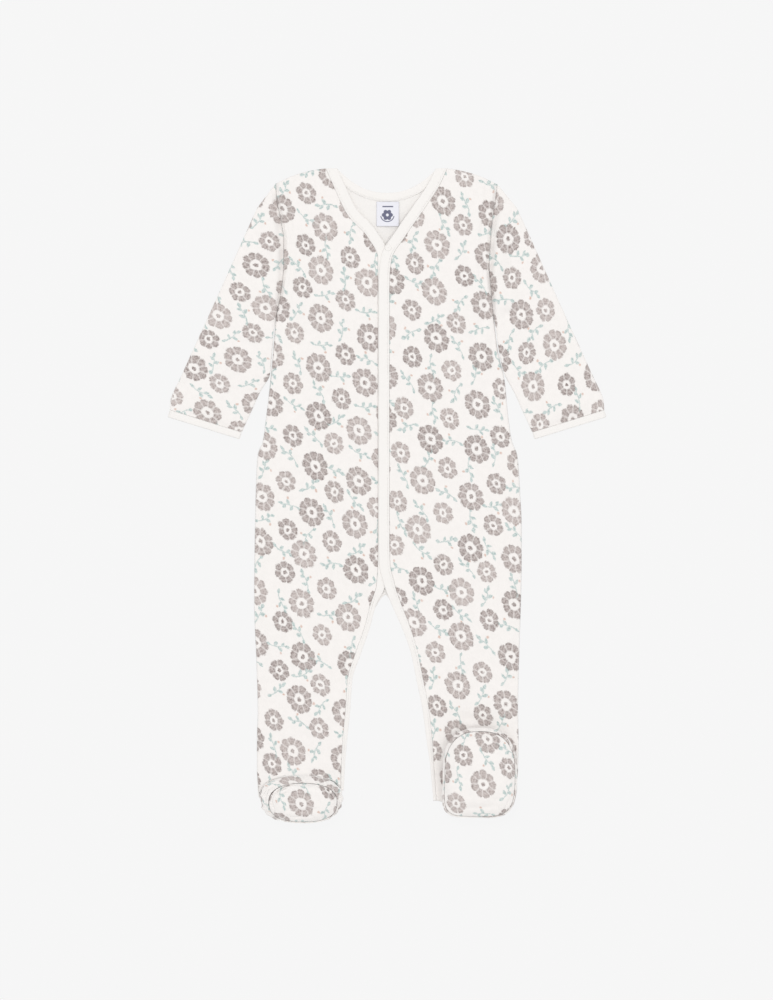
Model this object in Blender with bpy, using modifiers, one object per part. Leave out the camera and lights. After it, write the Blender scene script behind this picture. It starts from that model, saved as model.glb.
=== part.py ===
"""A baby's footed one-piece of printed velour, laid flat on its back with the front up.

Millimetres in the tables, metres in Blender. +Y runs to the head, +X to the wearer's left, +Z up.
The back lies on the ground, the fronts lie on the back and each sleeve is a flattened tube beside them.
"""

import math
from collections import namedtuple

import bmesh
import bpy
from mathutils import Vector

MM = 0.001
VELOUR = 1.5  # thickness of the printed cloth
JERSEY = 1.8  # thickness of a folded binding
SEAM = 0.3  # clearance between pieces that are sewn together
SLACK = 0.6  # air between two layers that lie on each other
FRONT_REST = VELOUR + SLACK  # underside of a front where it lies on the back
SIDE_REST = VELOUR + SEAM  # underside of a front at its side seam
LAP_RISE = JERSEY + SEAM  # how much higher the left front's edge lies on the right one's binding

STEPS_PER_ROW = 2
ACROSS_FRONT = 8
ACROSS_SHOULDER = 4
ACROSS_HALF_NECK = 5
ARMHOLE_STEPS = 24
TUBE_FLATS = 7  # steps across each flat side of a flattened tube
TUBE_BENDS = 3  # points round each of its folds
FOOT_SIDES = 28
SEARCH_STEPS = 20  # per row, where a place on an edge is looked up by its height
MITRE_LIMIT = 0.45
TOUCHING = 0.00001  # metres within which two points are one

# One row per station down a front, shoulder to ankle: the side edge, the seam of the binding at the
# centre, how far the row bows towards the head, and the width of the binding that shows there.
FrontRow = namedtuple("FrontRow", "side_x side_y seam_x seam_y bow binding")
FRONT_RIGHT = [
    FrontRow(-103.2, 289.2, -57.0, 303.5, 2.5, 9.5),
    FrontRow(-102.6, 277.0, -48.8, 285.0, 1.0, 10.0),
    FrontRow(-98.8, 256.2, -36.5, 260.0, 0.0, 10.0),
    FrontRow(-95.8, 236.0, -18.3, 239.9, 0.0, 10.0),
    FrontRow(-95.9, 213.0, -8.6, 220.0, 0.0, 10.0),
    FrontRow(-98.4, 190.0, -8.4, 195.0, 0.0, 10.0),
    FrontRow(-103.4, 163.0, -8.4, 166.0, 0.0, 10.0),
    FrontRow(-105.8, 134.0, -8.4, 135.0, 0.0, 10.0),
    FrontRow(-108.5, 106.0, -8.4, 106.0, 0.0, 10.0),
    FrontRow(-112.0, 76.0, -8.4, 76.0, 0.0, 10.0),
    FrontRow(-115.4, 51.0, -8.4, 51.0, 0.0, 10.0),
    FrontRow(-120.4, 36.0, -8.4, 36.0, 0.0, 10.0),
    FrontRow(-122.0, 5.0, -8.4, 5.0, 0.0, 10.0),
    FrontRow(-122.8, -30.0, -8.4, -30.0, 0.0, 10.0),
    FrontRow(-123.3, -62.0, -8.5, -60.0, 0.0, 9.6),
    FrontRow(-123.6, -84.0, -9.6, -82.0, 0.0, 6.2),
    FrontRow(-123.6, -104.0, -15.6, -102.0, 0.0, 5.2),
    FrontRow(-123.0, -122.0, -20.4, -121.0, 0.0, 5.0),
    FrontRow(-121.8, -146.0, -29.0, -146.0, 0.0, 5.0),
    FrontRow(-120.9, -172.0, -36.6, -171.0, 0.0, 4.5),
    FrontRow(-120.2, -200.0, -38.6, -199.0, 0.0, 4.5),
    FrontRow(-121.0, -228.0, -41.2, -227.0, 0.0, 4.2),
    FrontRow(-121.0, -254.0, -42.6, -251.0, 0.0, 3.6),
    FrontRow(-118.9, -279.0, -43.2, -274.4, 0.0, 3.0),
]
FRONT_LEFT = [
    FrontRow(102.0, 288.6, 56.0, 303.5, 2.5, 9.5),
    FrontRow(100.8, 276.0, 47.8, 286.0, 1.0, 10.0),
    FrontRow(97.8, 256.2, 33.0, 263.5, 0.0, 10.0),
    FrontRow(96.0, 236.0, 16.7, 239.9, 0.0, 10.0),
    FrontRow(94.8, 213.0, 4.2, 218.5, 0.0, 10.0),
    FrontRow(96.8, 190.0, 2.3, 195.0, 0.0, 10.0),
    FrontRow(99.4, 163.0, 2.3, 166.0, 0.0, 10.0),
    FrontRow(103.0, 134.0, 2.3, 135.0, 0.0, 10.0),
    FrontRow(109.4, 106.0, 2.3, 106.0, 0.0, 10.0),
    FrontRow(112.4, 76.0, 2.3, 76.0, 0.0, 10.0),
    FrontRow(116.0, 51.0, 2.3, 51.0, 0.0, 10.0),
    FrontRow(121.2, 36.0, 2.3, 36.0, 0.0, 10.0),
    FrontRow(123.6, 5.0, 2.3, 5.0, 0.0, 10.0),
    FrontRow(125.2, -30.0, 2.3, -30.0, 0.0, 10.0),
    FrontRow(125.2, -62.0, 2.6, -60.0, 0.0, 10.0),
    FrontRow(124.9, -84.0, 6.8, -82.0, 0.0, 9.4),
    FrontRow(124.4, -104.0, 13.4, -102.0, 0.0, 8.4),
    FrontRow(123.8, -122.0, 20.8, -121.0, 0.0, 7.4),
    FrontRow(123.0, -146.0, 28.4, -146.0, 0.0, 6.4),
    FrontRow(122.2, -172.0, 33.4, -171.0, 0.0, 6.2),
    FrontRow(121.8, -200.0, 38.9, -199.0, 0.0, 6.0),
    FrontRow(122.3, -228.0, 42.0, -227.0, 0.0, 5.4),
    FrontRow(121.8, -256.0, 43.8, -254.0, 0.0, 3.4),
    FrontRow(117.0, -284.0, 46.0, -284.0, -5.0, 3.0),
]
CROTCH_ROW = 15  # the last row above the crotch, where the back's two legs part
CROTCH = (-1.2, -86.5)  # where the seam of the crotch binding peaks
CROTCH_BINDING = 6.0
HEEL_BOW = 14.0  # how far the back's legs run on below the ankles, under the feet

# The back's neck seam: its depth below the shoulders at the centre, and how full its curve is.
NECK_TOP = 303.5
NECK_DEPTH = 30.5
NECK_FULLNESS = 2.2
BACK_NECK_BINDING = 8.0
# Which rows the shape of the shoulders and the neck still bends, and how strongly.
NECK_FADE = {0: 1.0, 1: 0.62, 2: 0.28, 3: 0.08}

# How a front puffs up beside its side seam, and down the middle of a leg.
PUFF_HEIGHT = 2.2
PUFF_REACH = 14.0
PUFF_FALL = 38.0
PUFF_REST = 0.5
BESIDE_BINDING = 2.0  # the puff starts this far from a binding's seam
# The lap of the left front over the right one: where along Y it starts and ends, each with its ramp.
LAP_TOP, LAP_TOP_RAMP = 244.0, 30.0
LAP_BOTTOM, LAP_BOTTOM_RAMP = -86.0, 18.0
LAP_SLOPE_WIDTH = 16.0

# One row per section of the right sleeve: the fold over the arm, and the closed edge under it. Rows
# without an under_x lie against the body's side edge at that height.
SleeveRow = namedtuple("SleeveRow", "fold_x fold_y under_x under_y")
SLEEVE = [
    SleeveRow(-121.0, 266.5, None, 152.0),
    SleeveRow(-136.5, 232.0, None, 140.0),
    SleeveRow(-150.9, 200.0, None, 127.0),
    SleeveRow(-164.8, 169.0, None, 112.0),
    SleeveRow(-177.8, 140.5, -118.2, 95.0),
    SleeveRow(-190.3, 113.0, -126.3, 77.0),
    SleeveRow(-201.2, 88.5, -132.6, 63.5),
    SleeveRow(-202.0, 79.2, -134.9, 58.4),
]
ARMHOLE_ROWS = 6  # the front's rows along which a sleeve is sewn in
CUFF_LENGTH = 7.0
SLEEVE_PUFF = 2.4
SLEEVE_FIRST_PUFF = 0.25  # share of the puff at the armhole
SLEEVE_PUFF_SECTIONS = 4.0  # sections in which it grows to its whole height
CUFF_SLACK = 0.7
PUFF_FULLNESS = 0.7  # below 1, a tube's puff is fuller than a sine

# The feet. The right one stands up and has collapsed, the left one is folded up over its leg with the
# sole on top. An outline is a rounded oblong, squarer on the toe's side, which may lean aside there.
Foot = namedtuple("Foot", "x y half_width half_length rest squareness toe_squareness toe_lean")
# A row is a ring, from an upper's lower edge to the sole's seam and on to its crown: its size against
# the outline, its height above where the foot rests, how much higher it is on the side of the leg, and
# how far it is moved.
FootRow = namedtuple("FootRow", "scale height leg_rise shift_x shift_y")
FOOT_RIGHT = Foot(-79.6, -281.4, 38.6, 21.9, SIDE_REST, 2.3, 2.5, 0.0)
FOOT_RIGHT_UPPER = [
    FootRow(0.92, 0.0, 5.0, 0.0, 0.0),
    FootRow(0.99, 4.6, 4.4, 0.0, 0.0),
    FootRow(0.985, 9.6, 4.0, 0.2, -0.4),
    FootRow(0.927, 14.6, 3.6, 0.8, -1.5),
    FootRow(0.83, 18.6, 3.2, 1.8, -3.0),
]
FOOT_RIGHT_SOLE = [
    FootRow(0.805, 19.4, 2.9, 2.0, -3.3),
    FootRow(0.69, 23.6, 2.2, 1.6, -2.4),
    FootRow(0.50, 26.4, 1.2, 0.8, -1.2),
    FootRow(0.25, 27.4, 0.4, 0.0, 0.0),
]
FOOT_LEFT = Foot(86.0, -257.2, 34.6, 41.8, 5.95, 2.5, 4.5, -3.2)
FOOT_LEFT_UPPER = [
    FootRow(0.30, 0.0, 0.0, 0.0, 0.0),
    FootRow(0.66, 0.2, 0.0, 0.0, 0.0),
    FootRow(0.90, 1.4, 0.0, 0.0, 0.0),
    FootRow(0.99, 5.4, 0.0, 0.0, 0.0),
    FootRow(1.0, 10.0, 0.0, 0.0, 0.0),
    FootRow(0.945, 14.6, 0.0, 0.0, -0.8),
]
FOOT_LEFT_SOLE = [
    FootRow(0.922, 15.2, 0.0, 0.0, -0.9),
    FootRow(0.80, 18.9, 0.0, 0.0, -0.8),
    FootRow(0.58, 21.6, 0.0, 0.0, -0.4),
    FootRow(0.30, 22.8, 0.0, 0.0, 0.0),
]
LEG_SIDE_FROM, LEG_SIDE_TO = 0.1, 0.95  # the sines of the angles between which a ring climbs
FOOT_CLEARANCE = 0.6
FOOT_MIDDLE = 9.0  # a height inside a foot, above where it rests
ANKLE_ROWS = 3  # the right front's last rows, which bend to the outline of its foot
ANKLE_RISE = 5.0  # how high the right leg's end climbs on its foot
ANKLE_RISE_FROM = -242.0
ANKLE_RISE_TO = -260.0
ANKLE_FULLNESS = 0.8

LABEL_SIZE = (21.0, 23.0, 0.7)
LABEL_CENTRE = (0.7, 261.2)
SNAP_RADIUS = 3.3
SNAP_THICKNESS = 1.0
SNAP_TAPER = 0.6
SNAP_PLACE = (1.0, 229.6)

VELOUR_COLOUR = (0.90, 0.87, 0.84)
JERSEY_COLOUR = (0.93, 0.91, 0.89)
LABEL_COLOUR = (0.90, 0.91, 0.94)
SNAP_COLOUR = (0.88, 0.86, 0.84)


def smoothstep(value, start, end):
    """0 before start, 1 after end, and a soft ramp between them; start may be the larger."""
    t = min(1.0, max(0.0, (value - start) / (end - start)))
    return t * t * (3.0 - 2.0 * t)


def lerp(a, b, t):
    return a + (b - a) * t


def curve_through(values, place):
    """The value at a fractional index, on a cubic through all values that never overshoots them."""
    last = len(values) - 1
    i = min(last - 1, int(place))
    t = place - i
    slopes = []
    for k in (i, i + 1):
        if k in (0, last):
            near = values[1] - values[0] if k == 0 else values[last] - values[last - 1]
            slopes.append(near)
            continue
        before = values[k] - values[k - 1]
        after = values[k + 1] - values[k]
        slopes.append(2.0 * before * after / (before + after) if before * after > 0.0 else 0.0)
    a, b = values[i], values[i + 1]
    t2, t3 = t * t, t * t * t
    return (
        (2 * t3 - 3 * t2 + 1) * a
        + (t3 - 2 * t2 + t) * slopes[0]
        + (3 * t2 - 2 * t3) * b
        + (t3 - t2) * slopes[1]
    )


def places(rows, first=0, last=None):
    """Fractional row indices from one row to another, with STEPS_PER_ROW steps in each."""
    end = len(rows) - 1 if last is None else last
    return [first + k / STEPS_PER_ROW for k in range((end - first) * STEPS_PER_ROW + 1)]


def at(rows, column, place):
    return curve_through([getattr(row, column) for row in rows], place)


def side_point(front, place):
    return at(front, "side_x", place), at(front, "side_y", place)


def seam_point(front, place):
    return at(front, "seam_x", place), at(front, "seam_y", place)


def side_x_at_height(front, y):
    """The x of a front's side edge where it has this y."""
    candidates = [k / SEARCH_STEPS for k in range(SEARCH_STEPS * (len(front) - 1))]
    nearest = min(candidates, key=lambda place: abs(at(front, "side_y", place) - y))
    return at(front, "side_x", nearest)


def lap(y):
    """How much of the left front's lap there is at this height: 1 along the placket."""
    from_top = 1.0 - smoothstep(y, LAP_TOP, LAP_TOP + LAP_TOP_RAMP)
    from_bottom = smoothstep(y, LAP_BOTTOM - LAP_BOTTOM_RAMP, LAP_BOTTOM)
    return from_top * from_bottom


def puff(distance):
    """How much a front rises at this distance from its side seam."""
    rise = smoothstep(distance, 0.0, PUFF_REACH)
    fall = lerp(1.0, PUFF_REST / PUFF_HEIGHT, smoothstep(distance, PUFF_REACH, PUFF_REACH + PUFF_FALL))
    return PUFF_HEIGHT * rise * fall


def front_height(front, place, across):
    """Underside of a front; across is 0 at the side edge and 1 at the binding's seam."""
    side = side_point(front, place)
    seam = seam_point(front, place)
    width = math.dist(side, seam)
    to_side = across * width
    to_seam = (1.0 - across) * width
    height = lerp(SIDE_REST, FRONT_REST, smoothstep(to_side, 0.0, PUFF_REACH))
    height += puff(to_side) * smoothstep(to_seam, BESIDE_BINDING, PUFF_REACH)
    if front is FRONT_LEFT:
        y = lerp(side[1], seam[1], across)
        height += LAP_RISE * lap(y) * (1.0 - smoothstep(to_seam, 0.0, LAP_SLOPE_WIDTH))
    else:
        climb = smoothstep(y_with_bow(front, place, across), ANKLE_RISE_FROM, ANKLE_RISE_TO)
        height += ANKLE_RISE * climb * ankle_side(across)
    return height


def ankle_side(across):
    """The leg's end climbs its foot in the middle and stays low at both edges."""
    return max(0.0, math.sin(math.pi * across)) ** ANKLE_FULLNESS


def y_with_bow(front, place, across):
    """The y of a front's point; the right leg's end follows the outline of its foot."""
    side = side_point(front, place)
    seam = seam_point(front, place)
    y = lerp(side[1], seam[1], across) + at(front, "bow", place) * math.sin(math.pi * across)
    if front is FRONT_RIGHT:
        last = len(front) - 1
        outline = foot_edge(FOOT_RIGHT, lerp(side[0], seam[0], across)) + FOOT_CLEARANCE
        y += max(0.0, outline - y) * smoothstep(place, last - ANKLE_ROWS, last)
    return y


def foot_edge(foot, x):
    """The y of a foot's outline on the side of the leg at this x."""
    share = min(1.0, abs((x - foot.x) / foot.half_width))
    return foot.y + foot.half_length * (1.0 - share**foot.squareness) ** (1.0 / foot.squareness)


def front_grid(front, across_count):
    """Rows of points on the underside of a front, side edge to binding seam."""
    grid = []
    for place in places(front):
        side = side_point(front, place)
        seam = seam_point(front, place)
        row = []
        for k in range(across_count + 1):
            t = k / across_count
            x = lerp(side[0], seam[0], t)
            row.append((x, y_with_bow(front, place, t), front_height(front, place, t)))
        grid.append(row)
    return grid


def neck_drop(x):
    """How far the back's neck seam lies below the shoulders at this x, 0 outside the neck."""
    reach = abs(FRONT_RIGHT[0].seam_x)
    return NECK_DEPTH * max(0.0, 1.0 - (abs(x) / reach) ** NECK_FULLNESS)


def back_columns(front):
    """Where the back's columns stand, 0 at the side edge and 1 at the centre; one meets the neck."""
    shoulder = front[0]
    neck = 1.0 - shoulder.seam_x / shoulder.side_x
    columns = [neck * k / ACROSS_SHOULDER for k in range(ACROSS_SHOULDER)]
    return columns + [lerp(neck, 1.0, k / ACROSS_HALF_NECK) for k in range(ACROSS_HALF_NECK + 1)]


def back_half_grid(front):
    """Rows of one half of the back above the crotch, side edge to centre, and then of its leg."""
    shoulder = front[0]
    body = []
    for place in places(front, 0, CROTCH_ROW):
        side = side_point(front, place)
        centre_x = CROTCH[0] * smoothstep(place, CROTCH_ROW - 2, CROTCH_ROW)
        level = (at(FRONT_RIGHT, "seam_y", place) + at(FRONT_LEFT, "seam_y", place)) / 2.0
        centre_y = lerp(level, CROTCH[1], smoothstep(place, CROTCH_ROW - 2, CROTCH_ROW))
        fade = curve_through([NECK_FADE.get(k, 0.0) for k in range(len(front))], place)
        row = []
        for t in back_columns(front):
            x = lerp(side[0], centre_x, t)
            straight = lerp(side[1], centre_y, t)
            to_neck = min(1.0, abs(x - side[0]) / abs(shoulder.seam_x - shoulder.side_x))
            top = lerp(shoulder.side_y, NECK_TOP, to_neck) - neck_drop(x)
            top += shoulder.bow * math.sin(math.pi * to_neck)
            top_straight = lerp(shoulder.side_y, NECK_TOP, t)
            row.append((x, straight + (top - top_straight) * fade, 0.0))
        body.append(row)
    leg = []
    for place in places(front, CROTCH_ROW)[1:]:
        side = side_point(front, place)
        seam = seam_point(front, place)
        row = []
        for t in back_columns(front):
            heel = HEEL_BOW * smoothstep(place, len(front) - 2, len(front) - 1) * math.sin(math.pi * t)
            row.append((lerp(side[0], seam[0], t), lerp(side[1], seam[1], t) - heel, 0.0))
        leg.append(row)
    return body + leg


def add_grid(mesh, grid):
    """Adds quads between rows of points."""
    rows = [[mesh.verts.new(Vector(point) * MM) for point in row] for row in grid]
    for upper, lower in zip(rows, rows[1:]):
        for k in range(len(upper) - 1):
            mesh.faces.new([upper[k], lower[k], lower[k + 1], upper[k + 1]])


def finish_object(name, mesh, material, collection):
    data = bpy.data.meshes.new(name)
    mesh.to_mesh(data)
    mesh.free()
    data.materials.append(material)
    thing = bpy.data.objects.new(name, data)
    collection.objects.link(thing)
    return thing


def cloth(name, grids, thickness, material, collection):
    """A piece of cloth: grids of its underside, joined where they meet, thickened upwards."""
    mesh = bmesh.new()
    for grid in grids:
        add_grid(mesh, grid)
    bmesh.ops.remove_doubles(mesh, verts=mesh.verts[:], dist=TOUCHING)
    extruded = bmesh.ops.extrude_face_region(mesh, geom=mesh.faces[:])
    top = [item for item in extruded["geom"] if isinstance(item, bmesh.types.BMVert)]
    bmesh.ops.translate(mesh, verts=top, vec=Vector((0.0, 0.0, thickness * MM)))
    bmesh.ops.recalc_face_normals(mesh, faces=mesh.faces[:])
    return finish_object(name, mesh, material, collection)


def normals_along(line):
    """Unit normals in the ground plane, to the right of a line's direction, mitred at each point."""
    result = []
    for i, _ in enumerate(line):
        before = Vector(line[max(0, i - 1)][:2])
        here = Vector(line[i][:2])
        after = Vector(line[min(len(line) - 1, i + 1)][:2])
        arms = [d.normalized() for d in (here - before, after - here) if d.length > 1e-9]
        sides = [Vector((d.y, -d.x)) for d in arms]
        middle = sum(sides, Vector((0.0, 0.0))).normalized()
        result.append(middle / max(MITRE_LIMIT, middle.dot(sides[0])))
    return result


def strip(line, start, widths, side):
    """A strip beside a line: from start outwards by its widths, at the line's own heights."""
    rows = []
    for point, normal, width in zip(line, normals_along(line), widths):
        inner = Vector(point[:2]) + normal * side * start
        outer = Vector(point[:2]) + normal * side * (start + width)
        ends = [(edge.x, min(edge.y, NECK_TOP), point[2]) for edge in (inner, outer)]
        rows.append(ends)
    return rows


def front_binding(front, side):
    """The strip along a front's neck, placket and inner leg, level with the front's edge."""
    line = []
    widths = []
    for place in places(front):
        seam = seam_point(front, place)
        line.append((*seam, binding_height(front, seam[1])))
        widths.append(at(front, "binding", place) - SEAM)
    return strip(line, SEAM, widths, side)


def binding_height(front, y):
    return FRONT_REST + (LAP_RISE * lap(y) if front is FRONT_LEFT else 0.0)


def crotch_binding():
    """The strip round the back's inner legs, ankle to crotch to ankle."""
    line = []
    widths = []
    for front, order in ((FRONT_RIGHT, -1), (FRONT_LEFT, 1)):
        run = places(front, CROTCH_ROW)[1:][::order]
        leg = [((*seam_point(front, p), 0.0), at(front, "binding", p) - SEAM) for p in run]
        if front is FRONT_LEFT:
            line.append((*CROTCH, 0.0))
            widths.append(CROTCH_BINDING)
        line += [point for point, _ in leg]
        widths += [width for _, width in leg]
    return strip(line, SEAM, widths, 1.0)


def neck_binding(halves):
    """The strip along the back's neck, shoulder to shoulder, standing above its seam."""
    right, left = (half[0][ACROSS_SHOULDER:] for half in halves)
    line = right + left[-2::-1]
    widths = [BACK_NECK_BINDING - SEAM] * len(line)
    return strip(line, SEAM, widths, -1.0)


def ring_profile(width, thickness, slack, swell):
    """Outer and inner outline of a flattened tube's section, as pairs of distance and height."""
    half = thickness + slack / 2.0
    outer = []
    inner = []

    def bulge(distance):
        return swell * math.sin(math.pi * distance / width) ** PUFF_FULLNESS

    for k in range(TUBE_FLATS + 1):
        distance = lerp(half, width - half, k / TUBE_FLATS)
        outer.append((distance, 2.0 * half + bulge(distance)))
        inner.append((distance, 2.0 * half - thickness + bulge(distance)))
    for k in range(1, TUBE_BENDS + 1):
        angle = math.pi / 2.0 - math.pi * k / (TUBE_BENDS + 1)
        for outline, radius in ((outer, half), (inner, half - thickness)):
            outline.append((width - half + radius * math.cos(angle), half + radius * math.sin(angle)))
    for k in range(TUBE_FLATS + 1):
        distance = lerp(width - half, half, k / TUBE_FLATS)
        outer.append((distance, 0.0))
        inner.append((distance, thickness))
    for k in range(1, TUBE_BENDS + 1):
        angle = -math.pi / 2.0 - math.pi * k / (TUBE_BENDS + 1)
        for outline, radius in ((outer, half), (inner, half - thickness)):
            outline.append((half + radius * math.cos(angle), half + radius * math.sin(angle)))
    return outer, inner


def tube(name, sections, thickness, slack, swells, material, collection):
    """A flattened tube with open ends; each section is a function from 0..1 to a point on the ground."""
    mesh = bmesh.new()
    loops = []
    for section, swell in zip(sections, swells):
        width = math.dist(section(0.0), section(1.0))
        pair = []
        for outline in ring_profile(width, thickness, slack, swell):
            points = [(*section(distance / width), height) for distance, height in outline]
            pair.append([mesh.verts.new(Vector(point) * MM) for point in points])
        loops.append(pair)
    for (outer, inner), (next_outer, next_inner) in zip(loops, loops[1:]):
        bridge(mesh, outer, next_outer)
        bridge(mesh, next_inner, inner)
    bridge(mesh, loops[0][1], loops[0][0])
    bridge(mesh, loops[-1][0], loops[-1][1])
    bmesh.ops.recalc_face_normals(mesh, faces=mesh.faces[:])
    return finish_object(name, mesh, material, collection)


def bridge(mesh, loop, next_loop):
    """Quads between two closed loops of points."""
    for k in range(len(loop)):
        j = (k + 1) % len(loop)
        mesh.faces.new([loop[k], loop[j], next_loop[j], next_loop[k]])


def straight(start, end):
    """A section that is a straight line."""
    return lambda t: (lerp(start[0], end[0], t), lerp(start[1], end[1], t))


def armhole(front, side):
    """The sleeve's first section: along the front's armhole, a seam's clearance outside it."""
    line = [side_point(front, ARMHOLE_ROWS * k / ARMHOLE_STEPS) for k in range(ARMHOLE_STEPS + 1)]

    def section(t):
        place = t * ARMHOLE_STEPS
        i = min(ARMHOLE_STEPS - 1, int(place))
        x = lerp(line[i][0], line[i + 1][0], place - i)
        y = lerp(line[i][1], line[i + 1][1], place - i)
        return x + side * 2.0 * SEAM, y

    return section


def blended(first, second, share):
    """A section part of the way from one to another."""

    def section(t):
        a, b = first(t), second(t)
        return lerp(a[0], b[0], share), lerp(a[1], b[1], share)

    return section


def sleeve_sections(front, side):
    """The sections of a sleeve from the armhole to its cuff's seam; side is -1 for the right one."""
    sections = [armhole(front, side)]
    for row in SLEEVE:
        if row.under_x is None:
            under = (side_x_at_height(front, row.under_y) + side * 3.0 * SEAM, row.under_y)
        else:
            under = (side * abs(row.under_x), row.under_y)
        sections.append(straight((side * abs(row.fold_x), row.fold_y), under))
    first = sections[0]
    half_way = blended(first, sections[1], 0.5)
    return [first, half_way] + sections[1:]


def cuff_sections(sleeve_end):
    """The cuff carries on from the sleeve's end, along the sleeve."""
    fold, under = Vector(sleeve_end(0.0)), Vector(sleeve_end(1.0))
    across = (under - fold).normalized()
    along = Vector((-across.y, across.x))
    if along.y > 0.0:
        along.negate()
    result = []
    for distance in (SEAM, CUFF_LENGTH):
        result.append(straight(tuple(fold + along * distance), tuple(under + along * distance)))
    return result


def foot_ring(foot, row, angle):
    """A point of a foot's ring: a rounded oblong, higher on the side of the leg."""
    c, s = math.cos(angle), math.sin(angle)
    power = 2.0 / (foot.squareness if s > 0.0 else foot.toe_squareness)
    wide = math.copysign(abs(c) ** power, c)
    along = math.copysign(abs(s) ** power, s)
    x = foot.x + row.shift_x + foot.half_width * row.scale * wide + foot.toe_lean * min(0.0, along) ** 2
    y = foot.y + row.shift_y + foot.half_length * row.scale * along
    leg_side = smoothstep(s, LEG_SIDE_FROM, LEG_SIDE_TO)
    return x, y, foot.rest + row.height + row.leg_rise * leg_side


def foot_shell(name, foot, rows, closed, material, collection):
    """A shell of rings; when closed, a cap spans its smaller end."""
    mesh = bmesh.new()
    angles = [2.0 * math.pi * (k + 0.5) / FOOT_SIDES for k in range(FOOT_SIDES)]
    rings = []
    for row in rows:
        rings.append([mesh.verts.new(Vector(foot_ring(foot, row, a)) * MM) for a in angles])
    for ring, next_ring in zip(rings, rings[1:]):
        bridge(mesh, ring, next_ring)
    if closed:
        cap = rings[0] if rows[0].scale < rows[-1].scale else rings[-1]
        centre = sum((v.co for v in cap), Vector()) / len(cap)
        middle = mesh.verts.new(centre)
        for k in range(len(cap)):
            mesh.faces.new([cap[k], cap[(k + 1) % len(cap)], middle])
    bmesh.ops.recalc_face_normals(mesh, faces=mesh.faces[:])
    mesh.normal_update()
    centre = Vector((foot.x, foot.y, foot.rest + FOOT_MIDDLE)) * MM
    outward = sum(f.normal.dot(f.calc_center_median() - centre) * f.calc_area() for f in mesh.faces)
    if outward < 0.0:
        bmesh.ops.reverse_faces(mesh, faces=mesh.faces[:])
    thing = finish_object(name, mesh, material, collection)
    wall = thing.modifiers.new("thickness", "SOLIDIFY")
    wall.thickness = VELOUR * MM
    wall.offset = -1.0
    return thing


def make_material(name, colour, roughness):
    material = bpy.data.materials.new(name)
    material.use_nodes = True
    shader = material.node_tree.nodes["Principled BSDF"]
    shader.inputs["Base Color"].default_value = (*colour, 1.0)
    shader.inputs["Roughness"].default_value = roughness
    shader.inputs["Metallic"].default_value = 0.0
    material.diffuse_color = (*colour, 1.0)
    return material


def make_label(material, collection):
    mesh = bmesh.new()
    bmesh.ops.create_cube(mesh, size=1.0)
    bmesh.ops.scale(mesh, verts=mesh.verts[:], vec=Vector(LABEL_SIZE) * MM)
    thing = finish_object("label", mesh, material, collection)
    height = VELOUR + SEAM + LABEL_SIZE[2] / 2.0
    thing.location = Vector((*LABEL_CENTRE, height)) * MM
    return thing


def make_snap(material, collection):
    mesh = bmesh.new()
    bmesh.ops.create_cone(
        mesh,
        cap_ends=True,
        segments=24,
        radius1=SNAP_RADIUS * MM,
        radius2=(SNAP_RADIUS - SNAP_TAPER) * MM,
        depth=SNAP_THICKNESS * MM,
    )
    thing = finish_object("snap_top", mesh, material, collection)
    top = binding_height(FRONT_LEFT, SNAP_PLACE[1]) + JERSEY
    thing.location = Vector((*SNAP_PLACE, top + SEAM + SNAP_THICKNESS / 2.0)) * MM
    return thing


def build():
    for thing in list(bpy.data.objects):
        bpy.data.objects.remove(thing, do_unlink=True)
    collection = bpy.data.collections.new("footed_baby_bodysuit")
    bpy.context.scene.collection.children.link(collection)
    velour = {}
    for name in ("back", "front_right", "front_left", "sleeve_right", "sleeve_left"):
        velour[name] = make_material(name, VELOUR_COLOUR, 0.9)
    for name in ("foot_right", "foot_left", "sole_right", "sole_left"):
        velour[name] = make_material(name, VELOUR_COLOUR, 0.9)
    jersey = {}
    for name in ("band_right", "band_left", "band_neck_back", "band_crotch_back", "cuff_right", "cuff_left"):
        jersey[name] = make_material(name, JERSEY_COLOUR, 0.85)

    halves = []
    for front in (FRONT_RIGHT, FRONT_LEFT):
        halves.append(back_half_grid(front))
    cloth("back", halves, VELOUR, velour["back"], collection)
    cloth("band_neck_back", [neck_binding(halves)], JERSEY, jersey["band_neck_back"], collection)
    cloth("band_crotch_back", [crotch_binding()], JERSEY, jersey["band_crotch_back"], collection)
    for side, hand, front in ((-1.0, "right", FRONT_RIGHT), (1.0, "left", FRONT_LEFT)):
        name = "front_" + hand
        cloth(name, [front_grid(front, ACROSS_FRONT)], VELOUR, velour[name], collection)
        name = "band_" + hand
        cloth(name, [front_binding(front, side)], JERSEY, jersey[name], collection)
        sections = sleeve_sections(front, side)
        shares = [SLEEVE_FIRST_PUFF + k / SLEEVE_PUFF_SECTIONS for k in range(len(sections))]
        swells = [SLEEVE_PUFF * min(1.0, share) for share in shares[:-1]] + [CUFF_SLACK]
        name = "sleeve_" + hand
        tube(name, sections, VELOUR, SLACK, swells, velour[name], collection)
        name = "cuff_" + hand
        ends = cuff_sections(sections[-1])
        tube(name, ends, JERSEY, SLACK, [CUFF_SLACK] * 2, jersey[name], collection)
    for name, foot, rows, closed in (
        ("foot_right", FOOT_RIGHT, FOOT_RIGHT_UPPER, False),
        ("sole_right", FOOT_RIGHT, FOOT_RIGHT_SOLE, True),
        ("foot_left", FOOT_LEFT, FOOT_LEFT_UPPER, True),
        ("sole_left", FOOT_LEFT, FOOT_LEFT_SOLE, True),
    ):
        foot_shell(name, foot, rows, closed, velour[name], collection)
    make_label(make_material("label", LABEL_COLOUR, 0.8), collection)
    make_snap(make_material("snap_top", SNAP_COLOUR, 0.5), collection)


build()
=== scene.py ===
"""Looks of a baby's footed one-piece of printed velour, laid flat on its back with the front up."""

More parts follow.
